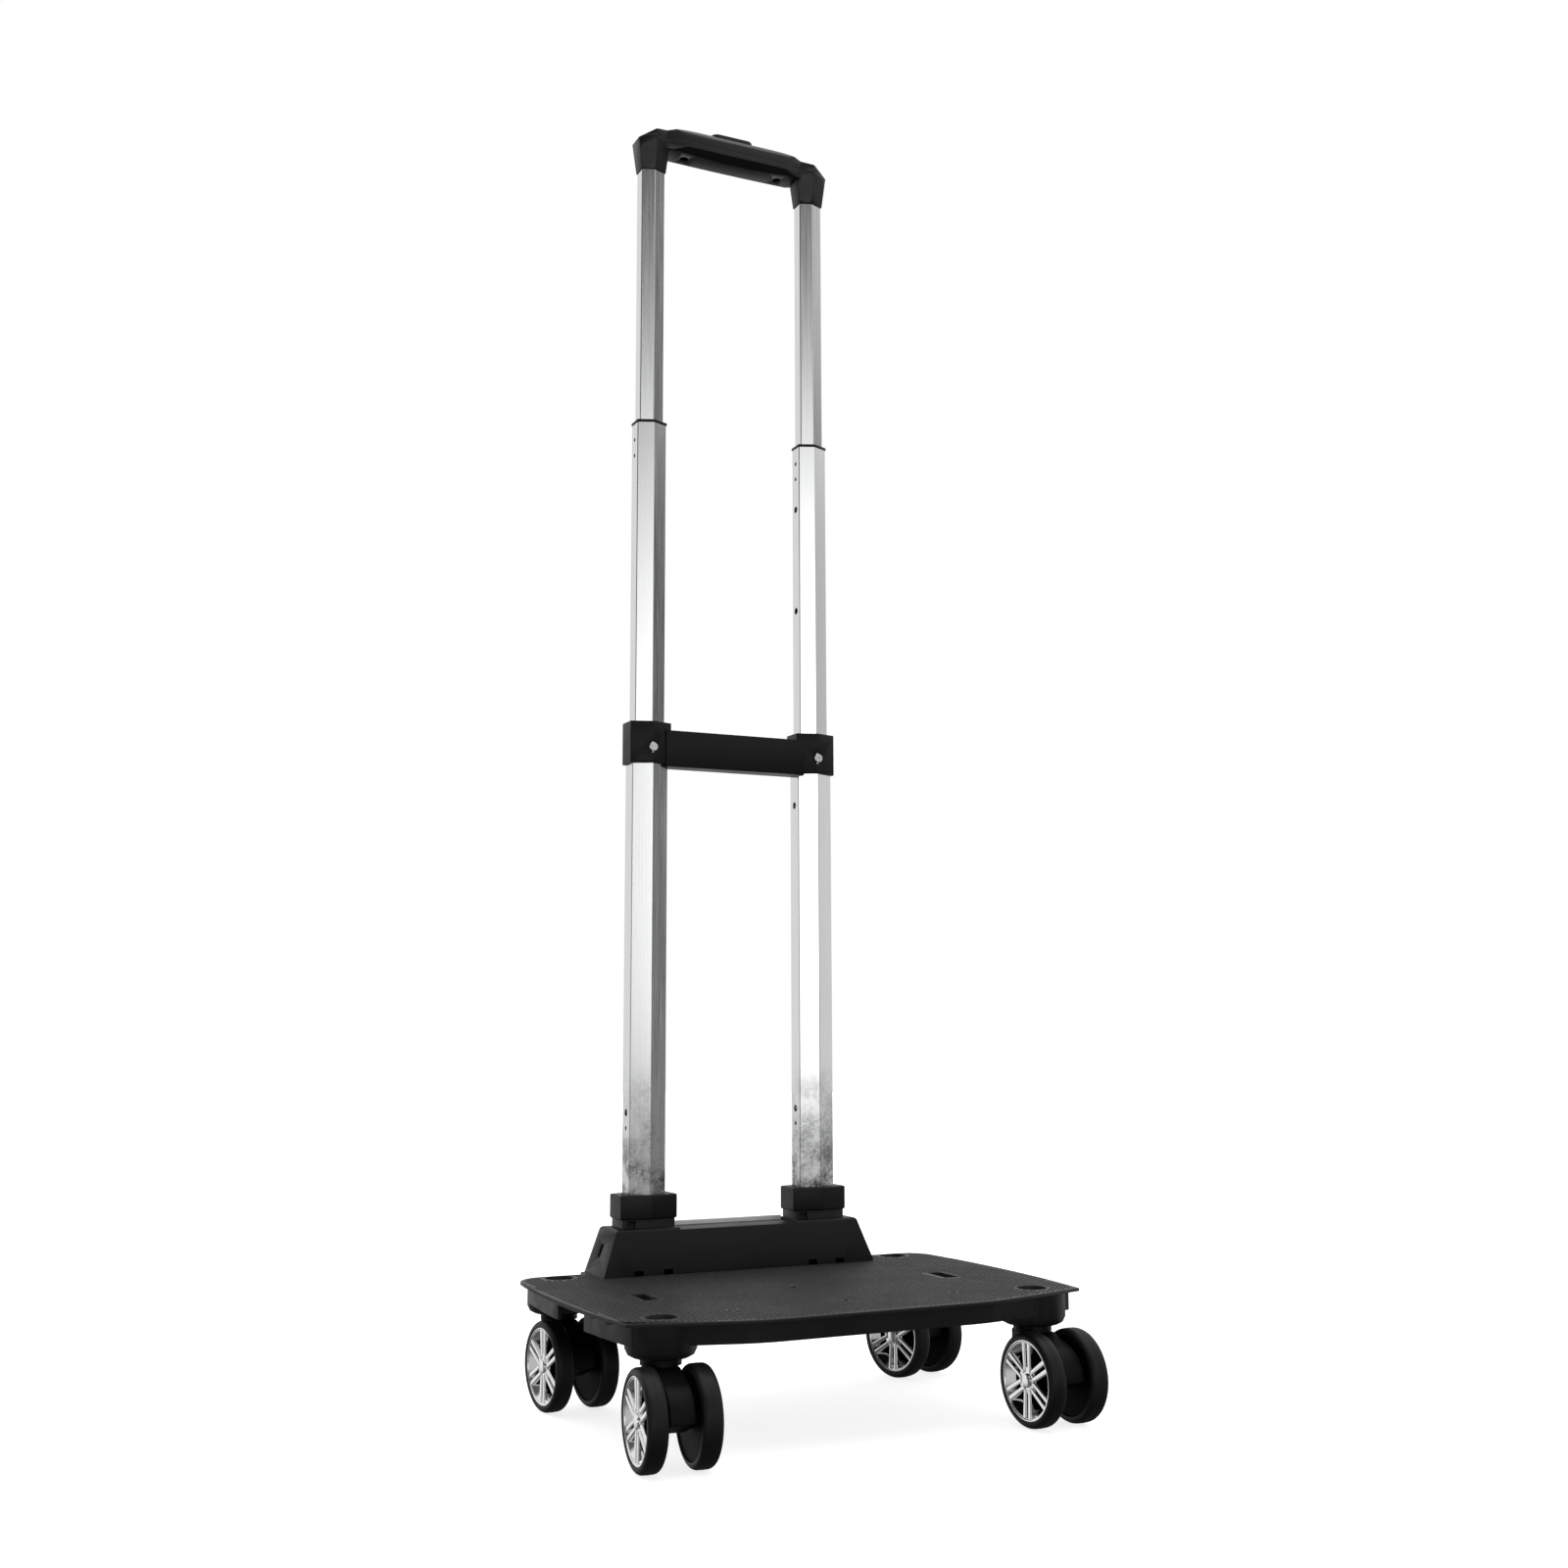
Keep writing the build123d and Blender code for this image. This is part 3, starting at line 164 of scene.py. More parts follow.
def drawn_aluminium():
    """Bright drawn aluminium tube. Die lines run along it, it is scuffed where cases rub near the
    foot, and the colour varies a little from line to line. Real die lines are under 0.1 mm, too
    fine to show, so they are drawn 0.6 mm apart."""
    material, shader, lines_at = start_material(
        "drawn_aluminium", {"Base Color": linear("#dedfe0"), "Metallic": 1.0, "Roughness": 0.16},
        (1, 1, DIE_LINE_STRETCH))
    link = material.node_tree.links.new
    place = add_node(material, "ShaderNodeTexCoord", {}).outputs["Object"]
    lines = add_node(material, "ShaderNodeTexNoise",
                     {"Vector": lines_at, "Scale": 1 / (DIE_LINE_MM * MM), "Detail": 3.0,
                      "Roughness": 0.65})
    scuffs = add_node(material, "ShaderNodeTexNoise",
                      {"Vector": place, "Scale": 1 / (SCUFF_MM * MM), "Detail": 6.0, "Roughness": 0.75})
    patches = add_node(material, "ShaderNodeTexNoise",
                       {"Vector": place, "Scale": 1 / (SCUFF_PATCH_MM * MM), "Detail": 2.0})
    worn = add_node(material, "ShaderNodeMath", {0: scuffs.outputs["Fac"], 1: patches.outputs["Fac"]},
                    operation="MULTIPLY")
    worn_here = add_node(material, "ShaderNodeMapRange",
                         {"Value": worn.outputs["Value"], "From Min": 0.16, "From Max": 0.34,
                          "To Min": 0.2, "To Max": 1.0})
    height = add_node(material, "ShaderNodeSeparateXYZ", {"Vector": place})
    foot = add_node(material, "ShaderNodeMapRange",
                    {"Value": height.outputs["Z"], "From Min": SCUFFED_FROM, "From Max": SCUFFED_TO})
    at_foot = add_node(material, "ShaderNodeMath",
                       {0: worn_here.outputs["Result"], 1: foot.outputs["Result"]}, operation="MULTIPLY")
    shade = add_node(material, "ShaderNodeMix",
                     {"Factor": lines.outputs["Fac"], MIX_A: linear("#c6c7c9"), MIX_B: linear("#efefef")},
                     data_type="RGBA")
    colour = add_node(material, "ShaderNodeMix",
                      {"Factor": at_foot.outputs["Value"], MIX_A: shade.outputs[MIX_COLOUR],
                       MIX_B: linear("#505153")}, data_type="RGBA")
    link(colour.outputs[MIX_COLOUR], shader.inputs["Base Color"])
    line_rough = add_node(material, "ShaderNodeMapRange",
                          {"Value": lines.outputs["Fac"], "From Min": 0.3, "From Max": 0.7,
                           "To Min": 0.1, "To Max": 0.22})
    rough = add_node(material, "ShaderNodeMath",
                     {0: at_foot.outputs["Value"], 1: 0.3, 2: line_rough.outputs["Result"]},
                     operation="MULTIPLY_ADD")
    link(rough.outputs["Value"], shader.inputs["Roughness"])
    drawn = add_node(material, "ShaderNodeBump",
                     {"Height": lines.outputs["Fac"], "Strength": 0.4, "Distance": 0.01 * MM})
    dented = add_node(material, "ShaderNodeBump",
                      {"Height": scuffs.outputs["Fac"], "Strength": 0.2, "Distance": 0.02 * MM,
                       "Normal": drawn.outputs["Normal"]})
    link(dented.outputs["Normal"], shader.inputs["Normal"])
    return material


def plain_metal(name, colour, roughness, mottle_mm, metallic=1.0):
    """Plated, oiled or mill-finish metal: even, with a slight mottle in its polish. A mill finish
    has a milky oxide that scatters most of the light, so it is given a low metallic value."""
    material, shader, place = start_material(
        name, {"Base Color": linear(colour), "Metallic": metallic, "Roughness": roughness})
    link = material.node_tree.links.new
    mottle = add_node(material, "ShaderNodeTexNoise",
                      {"Vector": place, "Scale": 1 / (mottle_mm * MM), "Detail": 3.0})
    polish = add_node(material, "ShaderNodeMapRange",
                      {"Value": mottle.outputs["Fac"], "From Min": 0.3, "From Max": 0.7,
                       "To Min": roughness * 0.75, "To Max": roughness * 1.3})
    link(polish.outputs["Result"], shader.inputs["Roughness"])
    bump = add_node(material, "ShaderNodeBump",
                    {"Height": mottle.outputs["Fac"], "Strength": 0.4, "Distance": 0.008 * MM})
    link(bump.outputs["Normal"], shader.inputs["Normal"])
    return material


def chromed_plastic():
    """Bright chrome on moulded ABS: mirror-like, with the slight waves of the moulding beneath
    and the finest smears of handling."""
    material, shader, place = start_material(
        "chromed_abs", {"Base Color": linear("#ededee"), "Metallic": 1.0, "Roughness": 0.1})
    link = material.node_tree.links.new
    smears = add_node(material, "ShaderNodeTexNoise",
                      {"Vector": place, "Scale": 1 / (SMEAR_MM * MM), "Detail": 4.0, "Roughness": 0.6})
    polish = add_node(material, "ShaderNodeMapRange",
                      {"Value": smears.outputs["Fac"], "From Min": 0.35, "From Max": 0.7,
                       "To Min": 0.06, "To Max": 0.18})
    link(polish.outputs["Result"], shader.inputs["Roughness"])
    waves = add_node(material, "ShaderNodeTexNoise",
                     {"Vector": place, "Scale": 1 / (WAVE_MM * MM), "Detail": 1.0})
    bump = add_node(material, "ShaderNodeBump",
                    {"Height": waves.outputs["Fac"], "Strength": 0.5, "Distance": 0.06 * MM})
    link(bump.outputs["Normal"], shader.inputs["Normal"])
    return material


# colours from clean to worn, roughness, grain width and height in mm, and shine
MATERIALS = {
    "deck_plastic": moulded_plastic(
        "textured_black_abs", "#1b1b1c", "#222223", 0.5, 0.5, 0.03, 0.33),
    "bracket_plastic": moulded_plastic(
        "fine_grain_black_abs", "#0d0d0e", "#131314", 0.45, 0.35, 0.015, 0.25),
    "grip_plastic": moulded_plastic(
        "satin_black_abs", "#0d0d0e", "#121213", 0.34, 0.3, 0.008, 0.4),
    "guide_plastic": moulded_plastic(
        "black_acetal", "#0e0e0f", "#121213", 0.4, 0.3, 0.006, 0.3),
    "caster_plastic": moulded_plastic(
        "black_nylon", "#08080a", "#0d0d0e", 0.48, 0.4, 0.012, 0.15),
    "wheel_plastic": moulded_plastic(
        "black_polypropylene", "#040405", "#070708", 0.6, 0.4, 0.01, 0.06),
    "tyre_rubber": moulded_plastic(
        "soft_black_polyurethane", "#111112", "#191919", 0.48, 0.45, 0.012, 0.28),
    "tube_aluminium": drawn_aluminium(),
    "tie_aluminium": plain_metal("mill_finish_aluminium", "#ebecec", 0.6, 0.8, metallic=0.15),
    "screw_steel": plain_metal("zinc_plated_steel", "#d6d7d9", 0.22, 0.5),
    "pin_steel": plain_metal("bright_steel", "#b9bbbe", 0.22, 0.5),
    "rod_steel": plain_metal("drawn_steel_wire", "#b4b6b9", 0.26, 0.4),
    "trim_chrome": chromed_plastic(),
}
BLACK_OXIDE = plain_metal("black_oxide_steel", "#1a1a1b", 0.42, 0.5)
BLACK_SCREWS = ("grip_screws",)


def dress_cad_nodes():
    """Gives every CAD node the material of its slot; the grip's screws are blackened."""
    for name, node in NODES.items():
        node.data.materials.clear()
        node.data.materials.append(BLACK_OXIDE if name in BLACK_SCREWS else MATERIALS[SLOT_OF[name]])


# ---- modelling helpers ----------------------------------------------------------------

MERGE = 0.002 * MM           # points nearer than this are one point
FLAT_ANGLE = 0.5             # degrees between faces that count as one flat face
SHARP_ANGLE = 35             # degrees; edges sharper than this are rounded
SMOOTH_ANGLE = 30            # degrees; edges gentler than this are shaded smooth


def pick(*pieces):
    """Selects these objects alone; the last one is active."""
    bpy.ops.object.select_all(action="DESELECT")
    for piece in pieces:
        piece.select_set(True)
    bpy.context.view_layer.objects.active = pieces[-1]


def select_faces(test):
    """In edit mode, selects the faces whose middle and normal pass the test."""
    bpy.ops.mesh.select_mode(type="FACE")
    bpy.ops.mesh.select_all(action="DESELECT")
    mesh = bmesh.from_edit_mesh(bpy.context.object.data)
    for face in mesh.faces:
        face.select_set(test(face.calc_center_median(), face.normal))
    bmesh.update_edit_mesh(bpy.context.object.data)


def select_edges(test):
    """In edit mode, selects the edges whose two ends pass the test."""
    bpy.ops.mesh.select_mode(type="EDGE")
    bpy.ops.mesh.select_all(action="DESELECT")
    mesh = bmesh.from_edit_mesh(bpy.context.object.data)
    for edge in mesh.edges:
        edge.select_set(test(edge.verts[0].co, edge.verts[1].co))
    bmesh.update_edit_mesh(bpy.context.object.data)


def settle(piece, smooth_angle=SMOOTH_ANGLE):
    """Puts the object at the origin with its place in its mesh, and smooths all but its sharp edges."""
    pick(piece)
    bpy.ops.object.transform_apply(location=True, rotation=True, scale=True)
    bpy.ops.object.mode_set(mode="EDIT")
    bpy.ops.mesh.select_all(action="SELECT")
    bpy.ops.mesh.remove_doubles(threshold=MERGE)
    bpy.ops.mesh.normals_make_consistent(inside=False)
    bpy.ops.object.mode_set(mode="OBJECT")
    bpy.ops.object.shade_smooth_by_angle(angle=math.radians(smooth_angle))


def enlist(piece, node, name=None):
    """Names a finished piece, gives it its node's finish and body, and puts it in the node's place."""
    piece.name = name or f"{node}_shaped"
    piece.data.materials.clear()
    piece.data.materials.append(MATERIALS[SLOT_OF[node]])
    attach(piece, BODY_OF[node])
    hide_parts(node)


def eased_copy(node, width_mm):
    """A copy of a moulded piece with its sharp edges rounded, as a mould leaves them."""
    piece = bpy.data.objects.new(f"{node}_shaped", NODES[node].data.copy())
    bpy.context.scene.collection.objects.link(piece)
    pick(piece)
    bpy.ops.object.mode_set(mode="EDIT")
    bpy.ops.mesh.select_all(action="SELECT")
    bpy.ops.mesh.remove_doubles(threshold=MERGE)
    bpy.ops.mesh.dissolve_limited(angle_limit=math.radians(FLAT_ANGLE))
    bpy.ops.object.mode_set(mode="OBJECT")
    bevel = piece.modifiers.new("rounded_edges", "BEVEL")
    bevel.width = width_mm * MM
    bevel.segments = 2
    bevel.limit_method = "ANGLE"
    bevel.angle_limit = math.radians(SHARP_ANGLE)
    bevel.use_clamp_overlap = True
    bpy.ops.object.modifier_apply(modifier=bevel.name)
    settle(piece)
    enlist(piece, node)


# ---- wheels ---------------------------------------------------------------------------
# A wheel is modelled lying flat: its axle along Z, outward up, X where the top will be.
# Heights are distances from the caster's middle plane.

WHEEL_R = 30.0 * MM
SPIN_STEPS = 96
ROUND_STEPS = 5              # segments in a turned ring's rounded corner

TYRE_IN = 10.2 * MM
TYRE_OUT = 23.0 * MM
TYRE_BORE = 25.5 * MM
TREAD_ROUND = 3.4 * MM
PARTING_HIGH = 0.12 * MM
PARTING_WIDE = 0.5 * MM

LIP_R = 25.7 * MM
LIP_LOW = 20.5 * MM
LIP_TOP = 22.4 * MM
LIP_ROUND = 0.7 * MM
BARREL_R = 23.9 * MM
BARREL_IN = BARREL_R - 0.6 * MM
BARREL_OUT = BARREL_R + 0.3 * MM
BARREL_LOW = 17.0 * MM
BARREL_TOP = LIP_TOP - 0.6 * MM
BARREL_ROUND = 0.25 * MM
BARREL_TAPER = 0.78

SPOKE_COUNT = 6
SPOKE_IN = 5.5 * MM
SPOKE_END = 24.4 * MM
SPOKE_ASIDE = 2.3 * MM       # from the middle of the double spoke to each of its bars
SPOKE_WIDE = 3.0 * MM
SPOKE_HIGH = 2.0 * MM
SPOKE_MID = 20.4 * MM
SPOKE_END_ASIDE = 0.45 * MM
SPOKE_END_RISE = 0.5 * MM
SPOKE_END_WIDENING = 1.25
SPOKE_CROWN = 0.8 * MM

HUB_R = 8.8 * MM
HUB_LOW = SPOKE_MID - 1.1 * MM
HUB_TOP = 21.1 * MM
CAP_R = 4.4 * MM
CAP_HIGH = 1.2 * MM
NUT_R = 0.95 * MM
NUT_HIGH = 0.7 * MM
NUT_RING = 6.5 * MM
NUT_SIDES = 12
SUNK = 0.2 * MM              # how far the cap and nuts reach into the hub
TOP_INSET = 0.45             # share of a disc's radius between its edge and its crown


def spun_ring(name, inner, outer, low, high, rounds):
    """A ring turned from a rectangle, closed all round; each item of rounds is a test that finds
    corners of the rectangle and the radius that they are rounded to."""
    bpy.ops.object.select_all(action="DESELECT")
    bpy.ops.mesh.primitive_plane_add(size=1, location=((inner + outer) / 2, 0, (low + high) / 2),
                                     rotation=(math.pi / 2, 0, 0))
    ring = bpy.context.object
    ring.name = name
    ring.scale = (outer - inner, high - low, 1)
    bpy.ops.object.transform_apply(location=True, rotation=True, scale=True)
    bpy.ops.object.mode_set(mode="EDIT")
    for at_corner, radius in rounds:
        bpy.ops.mesh.select_mode(type="VERT")
        bpy.ops.mesh.select_all(action="DESELECT")
        mesh = bmesh.from_edit_mesh(ring.data)
        for corner in mesh.verts:
            corner.select_set(at_corner(corner.co))
        bmesh.update_edit_mesh(ring.data)
        bpy.ops.mesh.bevel(offset=radius, segments=ROUND_STEPS, affect="VERTICES")
    bpy.ops.mesh.select_all(action="SELECT")
    bpy.ops.mesh.delete(type="ONLY_FACE")
    bpy.ops.mesh.select_all(action="SELECT")
    bpy.ops.mesh.spin(steps=SPIN_STEPS, angle=2 * math.pi, center=(0, 0, 0), axis=(0, 0, 1))
    bpy.ops.object.mode_set(mode="OBJECT")
    settle(ring)
    return ring


def make_tyre():
    """Soft tyre with full shoulders and the mould's fine parting line round the tread."""
    tread = WHEEL_R - PARTING_HIGH
    tyre = spun_ring("tyre", TYRE_BORE, tread, TYRE_IN, TYRE_OUT,
                     [(lambda co: co.x > WHEEL_R - MM, TREAD_ROUND)])
    middle = (TYRE_IN + TYRE_OUT) / 2
    parting = spun_ring("parting_line", tread - MM, WHEEL_R, middle - PARTING_WIDE / 2,
                        middle + PARTING_WIDE / 2, [(lambda co: co.x > tread, PARTING_HIGH / 2)])
    pick(parting, tyre)
    bpy.ops.object.join()
    return tyre


def make_spoke():
    """Half of a double spoke: a bar from the hub to the rim, crowned, widening outwards and
    rising towards the rim."""
    bpy.ops.object.select_all(action="DESELECT")
    bpy.ops.mesh.primitive_cube_add(size=1, location=((SPOKE_IN + SPOKE_END) / 2, SPOKE_ASIDE, SPOKE_MID))
    spoke = bpy.context.object
    spoke.scale = (SPOKE_END - SPOKE_IN, SPOKE_WIDE, SPOKE_HIGH)
    bpy.ops.object.transform_apply(location=True, rotation=True, scale=True)
    bpy.ops.object.mode_set(mode="EDIT")
    select_faces(lambda middle, normal: normal.x > 0.9)
    bpy.ops.transform.translate(value=(0, SPOKE_END_ASIDE, SPOKE_END_RISE))
    bpy.ops.transform.resize(value=(1, SPOKE_END_WIDENING, 1),
                             center_override=(SPOKE_END, SPOKE_ASIDE, SPOKE_MID))
    long_edge = (SPOKE_END - SPOKE_IN) / 2
    select_edges(lambda a, b: min(a.z, b.z) > SPOKE_MID and abs(a.x - b.x) > long_edge)
    bpy.ops.mesh.bevel(offset=SPOKE_CROWN, segments=3, affect="EDGES")
    bpy.ops.object.mode_set(mode="OBJECT")
    return spoke


def turned_disc(radius, low, high, at=(0, 0), sides=48, edge_mm=0.4, crown_mm=0.0):
    """A disc with a bevelled upper edge, its top drawn up to a crown."""
    bpy.ops.object.select_all(action="DESELECT")
    bpy.ops.mesh.primitive_cylinder_add(vertices=sides, radius=radius, depth=high - low,
                                        location=(*at, (low + high) / 2))
    disc = bpy.context.object
    bpy.ops.object.transform_apply(location=True, rotation=True, scale=True)
    bpy.ops.object.mode_set(mode="EDIT")
    select_edges(lambda a, b: min(a.z, b.z) > (low + high) / 2)
    bpy.ops.mesh.bevel(offset=edge_mm * MM, segments=2, affect="EDGES")
    select_faces(lambda middle, normal: normal.z > 0.99)
    bpy.ops.mesh.inset(thickness=radius * TOP_INSET)
    bpy.ops.transform.translate(value=(0, 0, crown_mm * MM))
    bpy.ops.object.mode_set(mode="OBJECT")
    return disc


def make_trim():
    """Chromed trim: a rolled lip, a barrel behind it, six double spokes and a hub with lug nuts
    round a crowned cap."""
    lip = spun_ring("lip", BARREL_R, LIP_R, LIP_LOW, LIP_TOP,
                    [(lambda co: co.z > (LIP_LOW + LIP_TOP) / 2, LIP_ROUND)])
    barrel = spun_ring("barrel", BARREL_IN, BARREL_OUT, BARREL_LOW, BARREL_TOP,
                       [(lambda co: co.z > (BARREL_LOW + BARREL_TOP) / 2, BARREL_ROUND)])
    bpy.ops.object.mode_set(mode="EDIT")
    select_edges(lambda a, b: max(a.z, b.z) < (BARREL_LOW + BARREL_TOP) / 2)
    bpy.ops.transform.resize(value=(BARREL_TAPER, BARREL_TAPER, 1), center_override=(0, 0, BARREL_LOW))
    bpy.ops.object.mode_set(mode="OBJECT")
    first = make_spoke()
    pick(first)
    bpy.ops.object.duplicate()
    second = bpy.context.object
    second.scale = (1, -1, 1)
    settle(second)
    pick(second, first)
    bpy.ops.object.join()
    bpy.ops.object.mode_set(mode="EDIT")
    bpy.ops.mesh.select_all(action="SELECT")
    for _ in range(SPOKE_COUNT - 1):
        bpy.ops.mesh.duplicate()
        bpy.ops.transform.rotate(value=2 * math.pi / SPOKE_COUNT, orient_axis="Z",
                                 center_override=(0, 0, 0))
    bpy.ops.object.mode_set(mode="OBJECT")
    hub = turned_disc(HUB_R, HUB_LOW, HUB_TOP, edge_mm=0.6)
    cap = turned_disc(CAP_R, HUB_TOP - SUNK, HUB_TOP + CAP_HIGH, crown_mm=0.3)
    between_spokes = [math.tau * (turn + 0.5) / SPOKE_COUNT for turn in range(SPOKE_COUNT)]
    nuts = [turned_disc(NUT_R, HUB_TOP - SUNK, HUB_TOP + NUT_HIGH, sides=NUT_SIDES, edge_mm=0.25,
                        at=(NUT_RING * math.cos(angle), NUT_RING * math.sin(angle)))
            for angle in between_spokes]
    pick(lip, barrel, hub, cap, *nuts, first)
    bpy.ops.object.join()
    settle(first)
    return first


def place_wheel_piece(master, kind, caster, hand):
    """Copies a finished wheel piece to one wheel: X up, Z outward along the axle."""
    joint = JOINTS[f"spin_{caster}_{hand}"]
    outward = Vector(joint["axis"]) * (1 if hand == "left" else -1)
    up = Vector((0, 0, 1))
    turn = Matrix((up, outward.cross(up), outward)).transposed().to_4x4()
    node = f"{kind}_{caster}_{hand}"
    piece = bpy.data.objects.new(node, master.data.copy())
    bpy.context.scene.collection.objects.link(piece)
    piece.data.transform(Matrix.Translation(Vector(joint["pos_m"])) @ turn)
    enlist(piece, node)


def add_wheels():
    """Makes one tyre and one trim, copies them to the eight wheels and drops the two patterns."""
    tyre, trim = make_tyre(), make_trim()
    for caster in CASTERS:
        for hand in HANDS:
            place_wheel_piece(tyre, "tyre", caster, hand)
            place_wheel_piece(trim, "wheel_trim", caster, hand)
    for master in (tyre, trim):
        bpy.data.objects.remove(master)


# ---- deck -----------------------------------------------------------------------------

STUD_PITCH = 3.6 * MM
STUD_R = 1.35 * MM
STUD_TOP_R = 0.75 * MM
STUD_HIGH = 0.45 * MM
STUD_SUNK = 0.02 * MM
STUD_MARGIN = 3.0 * MM
FLATNESS = 0.02 * MM


def flat_below(x, y, reach):
    """Whether the deck's flat top is under a stud at x, y and at four places round it."""
    for dx, dy in ((0, 0), (reach, 0), (-reach, 0), (0, reach), (0, -reach)):
        hit, at, _, _ = NODES["deck"].ray_cast(Vector((x + dx, y + dy, 1)), Vector((0, 0, -1)))
        if not hit or at.z < DECK_HIGH.z - FLATNESS:
            return False
    return True


def add_deck_studs():
    """The deck's grip pattern: rows of low diamond studs that stop short of every opening."""
    columns = int((DECK_HIGH.x - DECK_LOW.x) / STUD_PITCH)
    rows = int((DECK_HIGH.y - DECK_LOW.y) / STUD_PITCH)
    start = Vector((-(columns - 1) / 2 * STUD_PITCH, DECK_LOW.y + STUD_PITCH / 2, 0))
    bpy.ops.object.select_all(action="DESELECT")
    middle_height = DECK_HIGH.z + STUD_HIGH / 2 - STUD_SUNK
    bpy.ops.mesh.primitive_cone_add(vertices=4, radius1=STUD_R, radius2=STUD_TOP_R, depth=STUD_HIGH,
                                    location=(start.x, start.y, middle_height))
    studs = bpy.context.object
    bpy.ops.object.transform_apply(location=True, rotation=True, scale=True)
    bpy.ops.object.mode_set(mode="EDIT")
    select_faces(lambda middle, normal: normal.z < -0.9)
    bpy.ops.mesh.delete(type="ONLY_FACE")
    bpy.ops.object.mode_set(mode="OBJECT")
    for count, step in ((columns, (STUD_PITCH, 0, 0)), (rows, (0, STUD_PITCH, 0))):
        array = studs.modifiers.new("rows", "ARRAY")
        array.count = count
        array.use_relative_offset = False
        array.use_constant_offset = True
        array.constant_offset_displace = step
        bpy.ops.object.modifier_apply(modifier=array.name)
    empty = {(i, j) for i in range(columns) for j in range(rows)
             if not flat_below(start.x + i * STUD_PITCH, start.y + j * STUD_PITCH, STUD_MARGIN)}
    bpy.ops.object.mode_set(mode="EDIT")
    select_faces(lambda middle, normal: (round((middle.x - start.x) / STUD_PITCH),
                                         round((middle.y - start.y) / STUD_PITCH)) in empty)
    bpy.ops.mesh.delete(type="FACE")
    bpy.ops.object.mode_set(mode="OBJECT")
    studs.name = "deck_studs"
    studs.data.materials.append(MATERIALS["deck_plastic"])
    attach(studs, "base")


# ---- eased mouldings ------------------------------------------------------------------

EASED_MM = {
    "deck": 0.5, "handle_bracket": 0.6, "base_collars": 0.5, "brace": 0.5, "grip_body": 0.7,
    "grip_cover": 0.7, "top_rings": 0.2,
}
EASED_HOUSING_MM = 0.4


def add_eased_mouldings():
    """The moulded pieces, with the rounding that each one's mould leaves on its edges."""
    for node, width_mm in EASED_MM.items():
        eased_copy(node, width_mm)
    for caster in CASTERS:
        eased_copy(f"caster_housing_{caster}", EASED_HOUSING_MM)


# ---- button springs -------------------------------------------------------------------

WIRE_SMOOTH_ANGLE = 60


def add_button_springs():
    """The two springs under the button, copied as they stand, with their wire shaded smooth."""
    springs = bpy.data.objects.new("button_springs_wound", NODES["button_springs"].data.copy())
    bpy.context.scene.collection.objects.link(springs)
    settle(springs, smooth_angle=WIRE_SMOOTH_ANGLE)
    enlist(springs, "button_springs", springs.name)
    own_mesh(springs)


# ---- studio ---------------------------------------------------------------------------

FLOOR_R = 6.0
FLOOR_GLOW = 0.78
BASE_LIGHT = 0.1
EVERYWHERE = 400.0           # degrees, more than a full turn
# middle and half width in degrees from +Y towards +X, and softness; lowest and highest sine
# of elevation, each with its softness; strength
STUDIO_LIGHTS = (
    (50.0, 58.2, 1.5, -0.35, 0.2, 0.75, 0.2, 0.85),       # white backdrop behind and to the right
    (-30.0, 22.0, 8.0, -0.35, 0.2, 0.75, 0.2, 0.8),       # backdrop on the left
    (107.0, 8.0, 2.0, 0.33, 0.06, 0.8, 0.06, 0.45),       # card high on the right
    (-165.0, 10.6, 5.0, -0.05, 0.06, 0.3, 0.17, 2.5),     # tall strip light beside the camera
    (152.0, 24.0, 10.0, -0.25, 0.15, 0.08, 0.1, 0.2),     # pale wall in front
    (152.0, 24.0, 10.0, 0.12, 0.1, 0.7, 0.1, 0.75),       # lighter card above it
    (-115.0, 28.0, 10.0, -0.4, 0.15, 0.2, 0.15, 0.45),    # low card at the left
    (0.0, EVERYWHERE, 1.0, 0.8, 0.1, 2.0, 0.1, 1.3),      # ceiling softbox
)


def compass_degrees(world, axes):
    """The direction's azimuth in degrees, from +Y towards +X."""
    azimuth = add_node(world, "ShaderNodeMath", {0: axes.outputs["X"], 1: axes.outputs["Y"]},
                       operation="ARCTAN2")
    degrees = add_node(world, "ShaderNodeMath", {0: azimuth.outputs["Value"], 1: 180 / math.pi},
                       operation="MULTIPLY")
    return degrees.outputs["Value"]


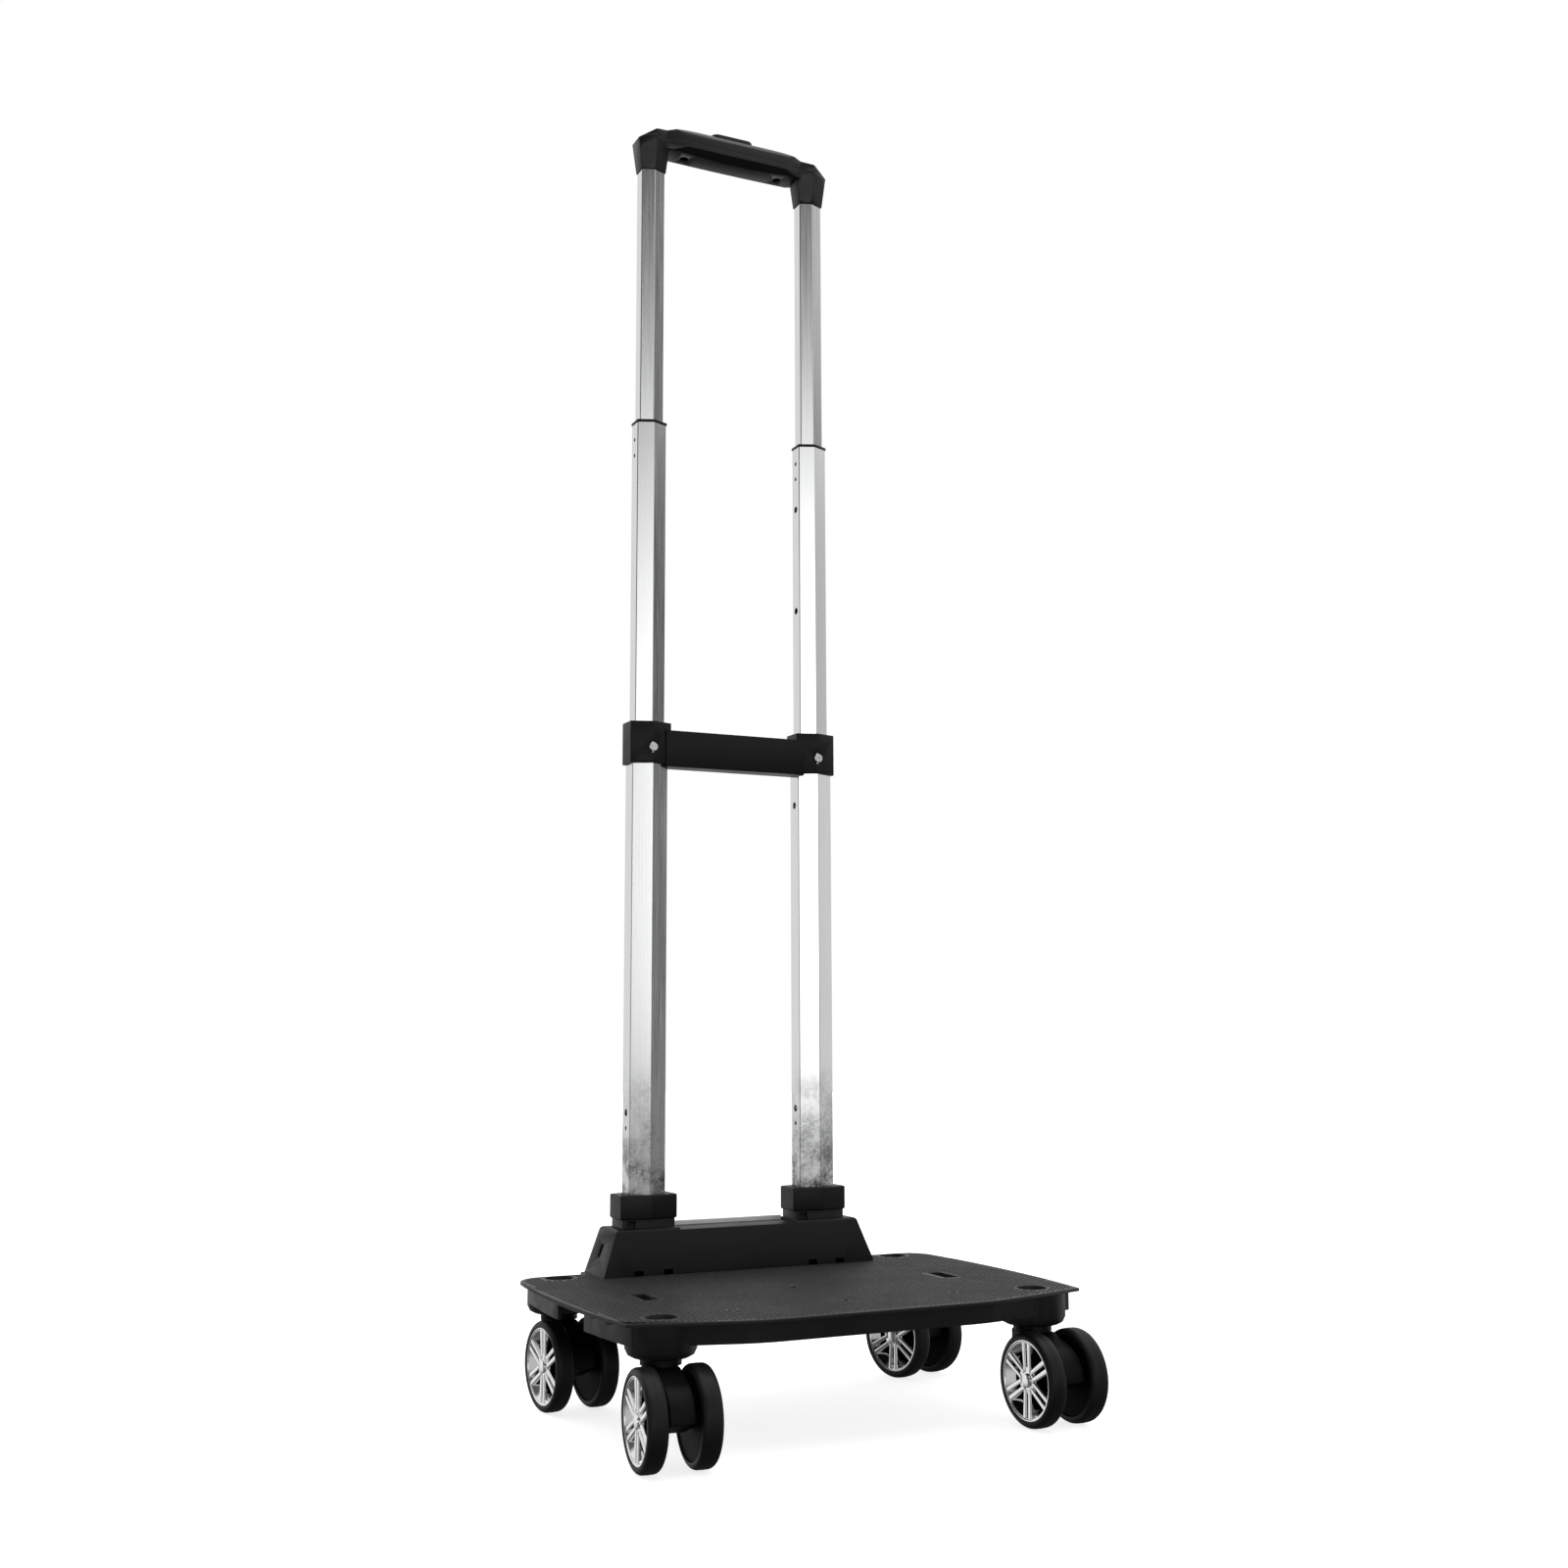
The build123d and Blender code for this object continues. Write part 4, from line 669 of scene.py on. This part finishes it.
def light_patch(world, degrees, height, light):
    """How much of one soft-edged studio light lies in the direction, from 0 to 1."""
    middle, half, soft, low, low_fade, high, high_fade, _ = light
    offset = add_node(world, "ShaderNodeMath", {0: degrees, 1: middle}, operation="SUBTRACT")
    turned = add_node(world, "ShaderNodeMath", {0: offset.outputs["Value"], 1: -180.0, 2: 180.0},
                      operation="WRAP")
    aside = add_node(world, "ShaderNodeMath", {0: turned.outputs["Value"]}, operation="ABSOLUTE")
    across = add_node(world, "ShaderNodeMapRange",
                      {"Value": aside.outputs["Value"], "From Min": half + soft,
                       "From Max": half - soft}, interpolation_type="SMOOTHSTEP")
    over = add_node(world, "ShaderNodeMapRange",
                    {"Value": height, "From Min": low - low_fade, "From Max": low + low_fade},
                    interpolation_type="SMOOTHSTEP")
    under = add_node(world, "ShaderNodeMapRange",
                     {"Value": height, "From Min": high + high_fade, "From Max": high - high_fade},
                     interpolation_type="SMOOTHSTEP")
    band = add_node(world, "ShaderNodeMath", {0: over.outputs["Result"], 1: under.outputs["Result"]},
                    operation="MULTIPLY")
    patch = add_node(world, "ShaderNodeMath",
                     {0: across.outputs["Result"], 1: band.outputs["Value"]}, operation="MULTIPLY")
    return patch.outputs["Value"]


def light_world():
    """The metal and the black mouldings see a studio that is white behind the trolley and dark in
    front, with one tall strip light beside the camera. What is seen directly is plain white."""
    world = bpy.data.worlds.new("studio")
    bpy.context.scene.world = world
    world.use_nodes = True
    direction = add_node(world, "ShaderNodeTexCoord", {}).outputs["Generated"]
    axes = add_node(world, "ShaderNodeSeparateXYZ", {"Vector": direction})
    degrees = compass_degrees(world, axes)
    level = BASE_LIGHT
    for light in STUDIO_LIGHTS:
        patch = light_patch(world, degrees, axes.outputs["Z"], light)
        total = add_node(world, "ShaderNodeMath", {0: patch, 1: light[-1], 2: level},
                         operation="MULTIPLY_ADD")
        level = total.outputs["Value"]
    seen = add_node(world, "ShaderNodeLightPath", {}).outputs["Is Camera Ray"]
    shown = add_node(world, "ShaderNodeMix", {"Factor": seen, MIX_LOW: level, MIX_HIGH: 1.0},
                     data_type="FLOAT")
    background = world.node_tree.nodes["Background"]
    background.inputs["Color"].default_value = (1, 1, 1, 1)
    world.node_tree.links.new(shown.outputs[MIX_VALUE], background.inputs["Strength"])


def add_floor():
    """Pale floor that catches the casters' shadows and lights nothing."""
    bpy.ops.object.select_all(action="DESELECT")
    bpy.ops.mesh.primitive_circle_add(vertices=96, radius=FLOOR_R, fill_type="NGON",
                                      location=(0, 0, 0))
    floor = bpy.context.object
    floor.name = "floor"
    floor.visible_diffuse = False
    floor.visible_glossy = False
    material, _, _ = start_material(
        "pale_floor", {"Base Color": linear("#f6f6f6"), "Roughness": 0.9,
                       "Emission Color": (1, 1, 1, 1), "Emission Strength": FLOOR_GLOW})
    floor.data.materials.append(material)


add_camera()
dress_cad_nodes()
add_wheels()
add_deck_studs()
add_eased_mouldings()
add_button_springs()
light_world()
add_floor()
bpy.context.scene.view_settings.view_transform = "Standard"
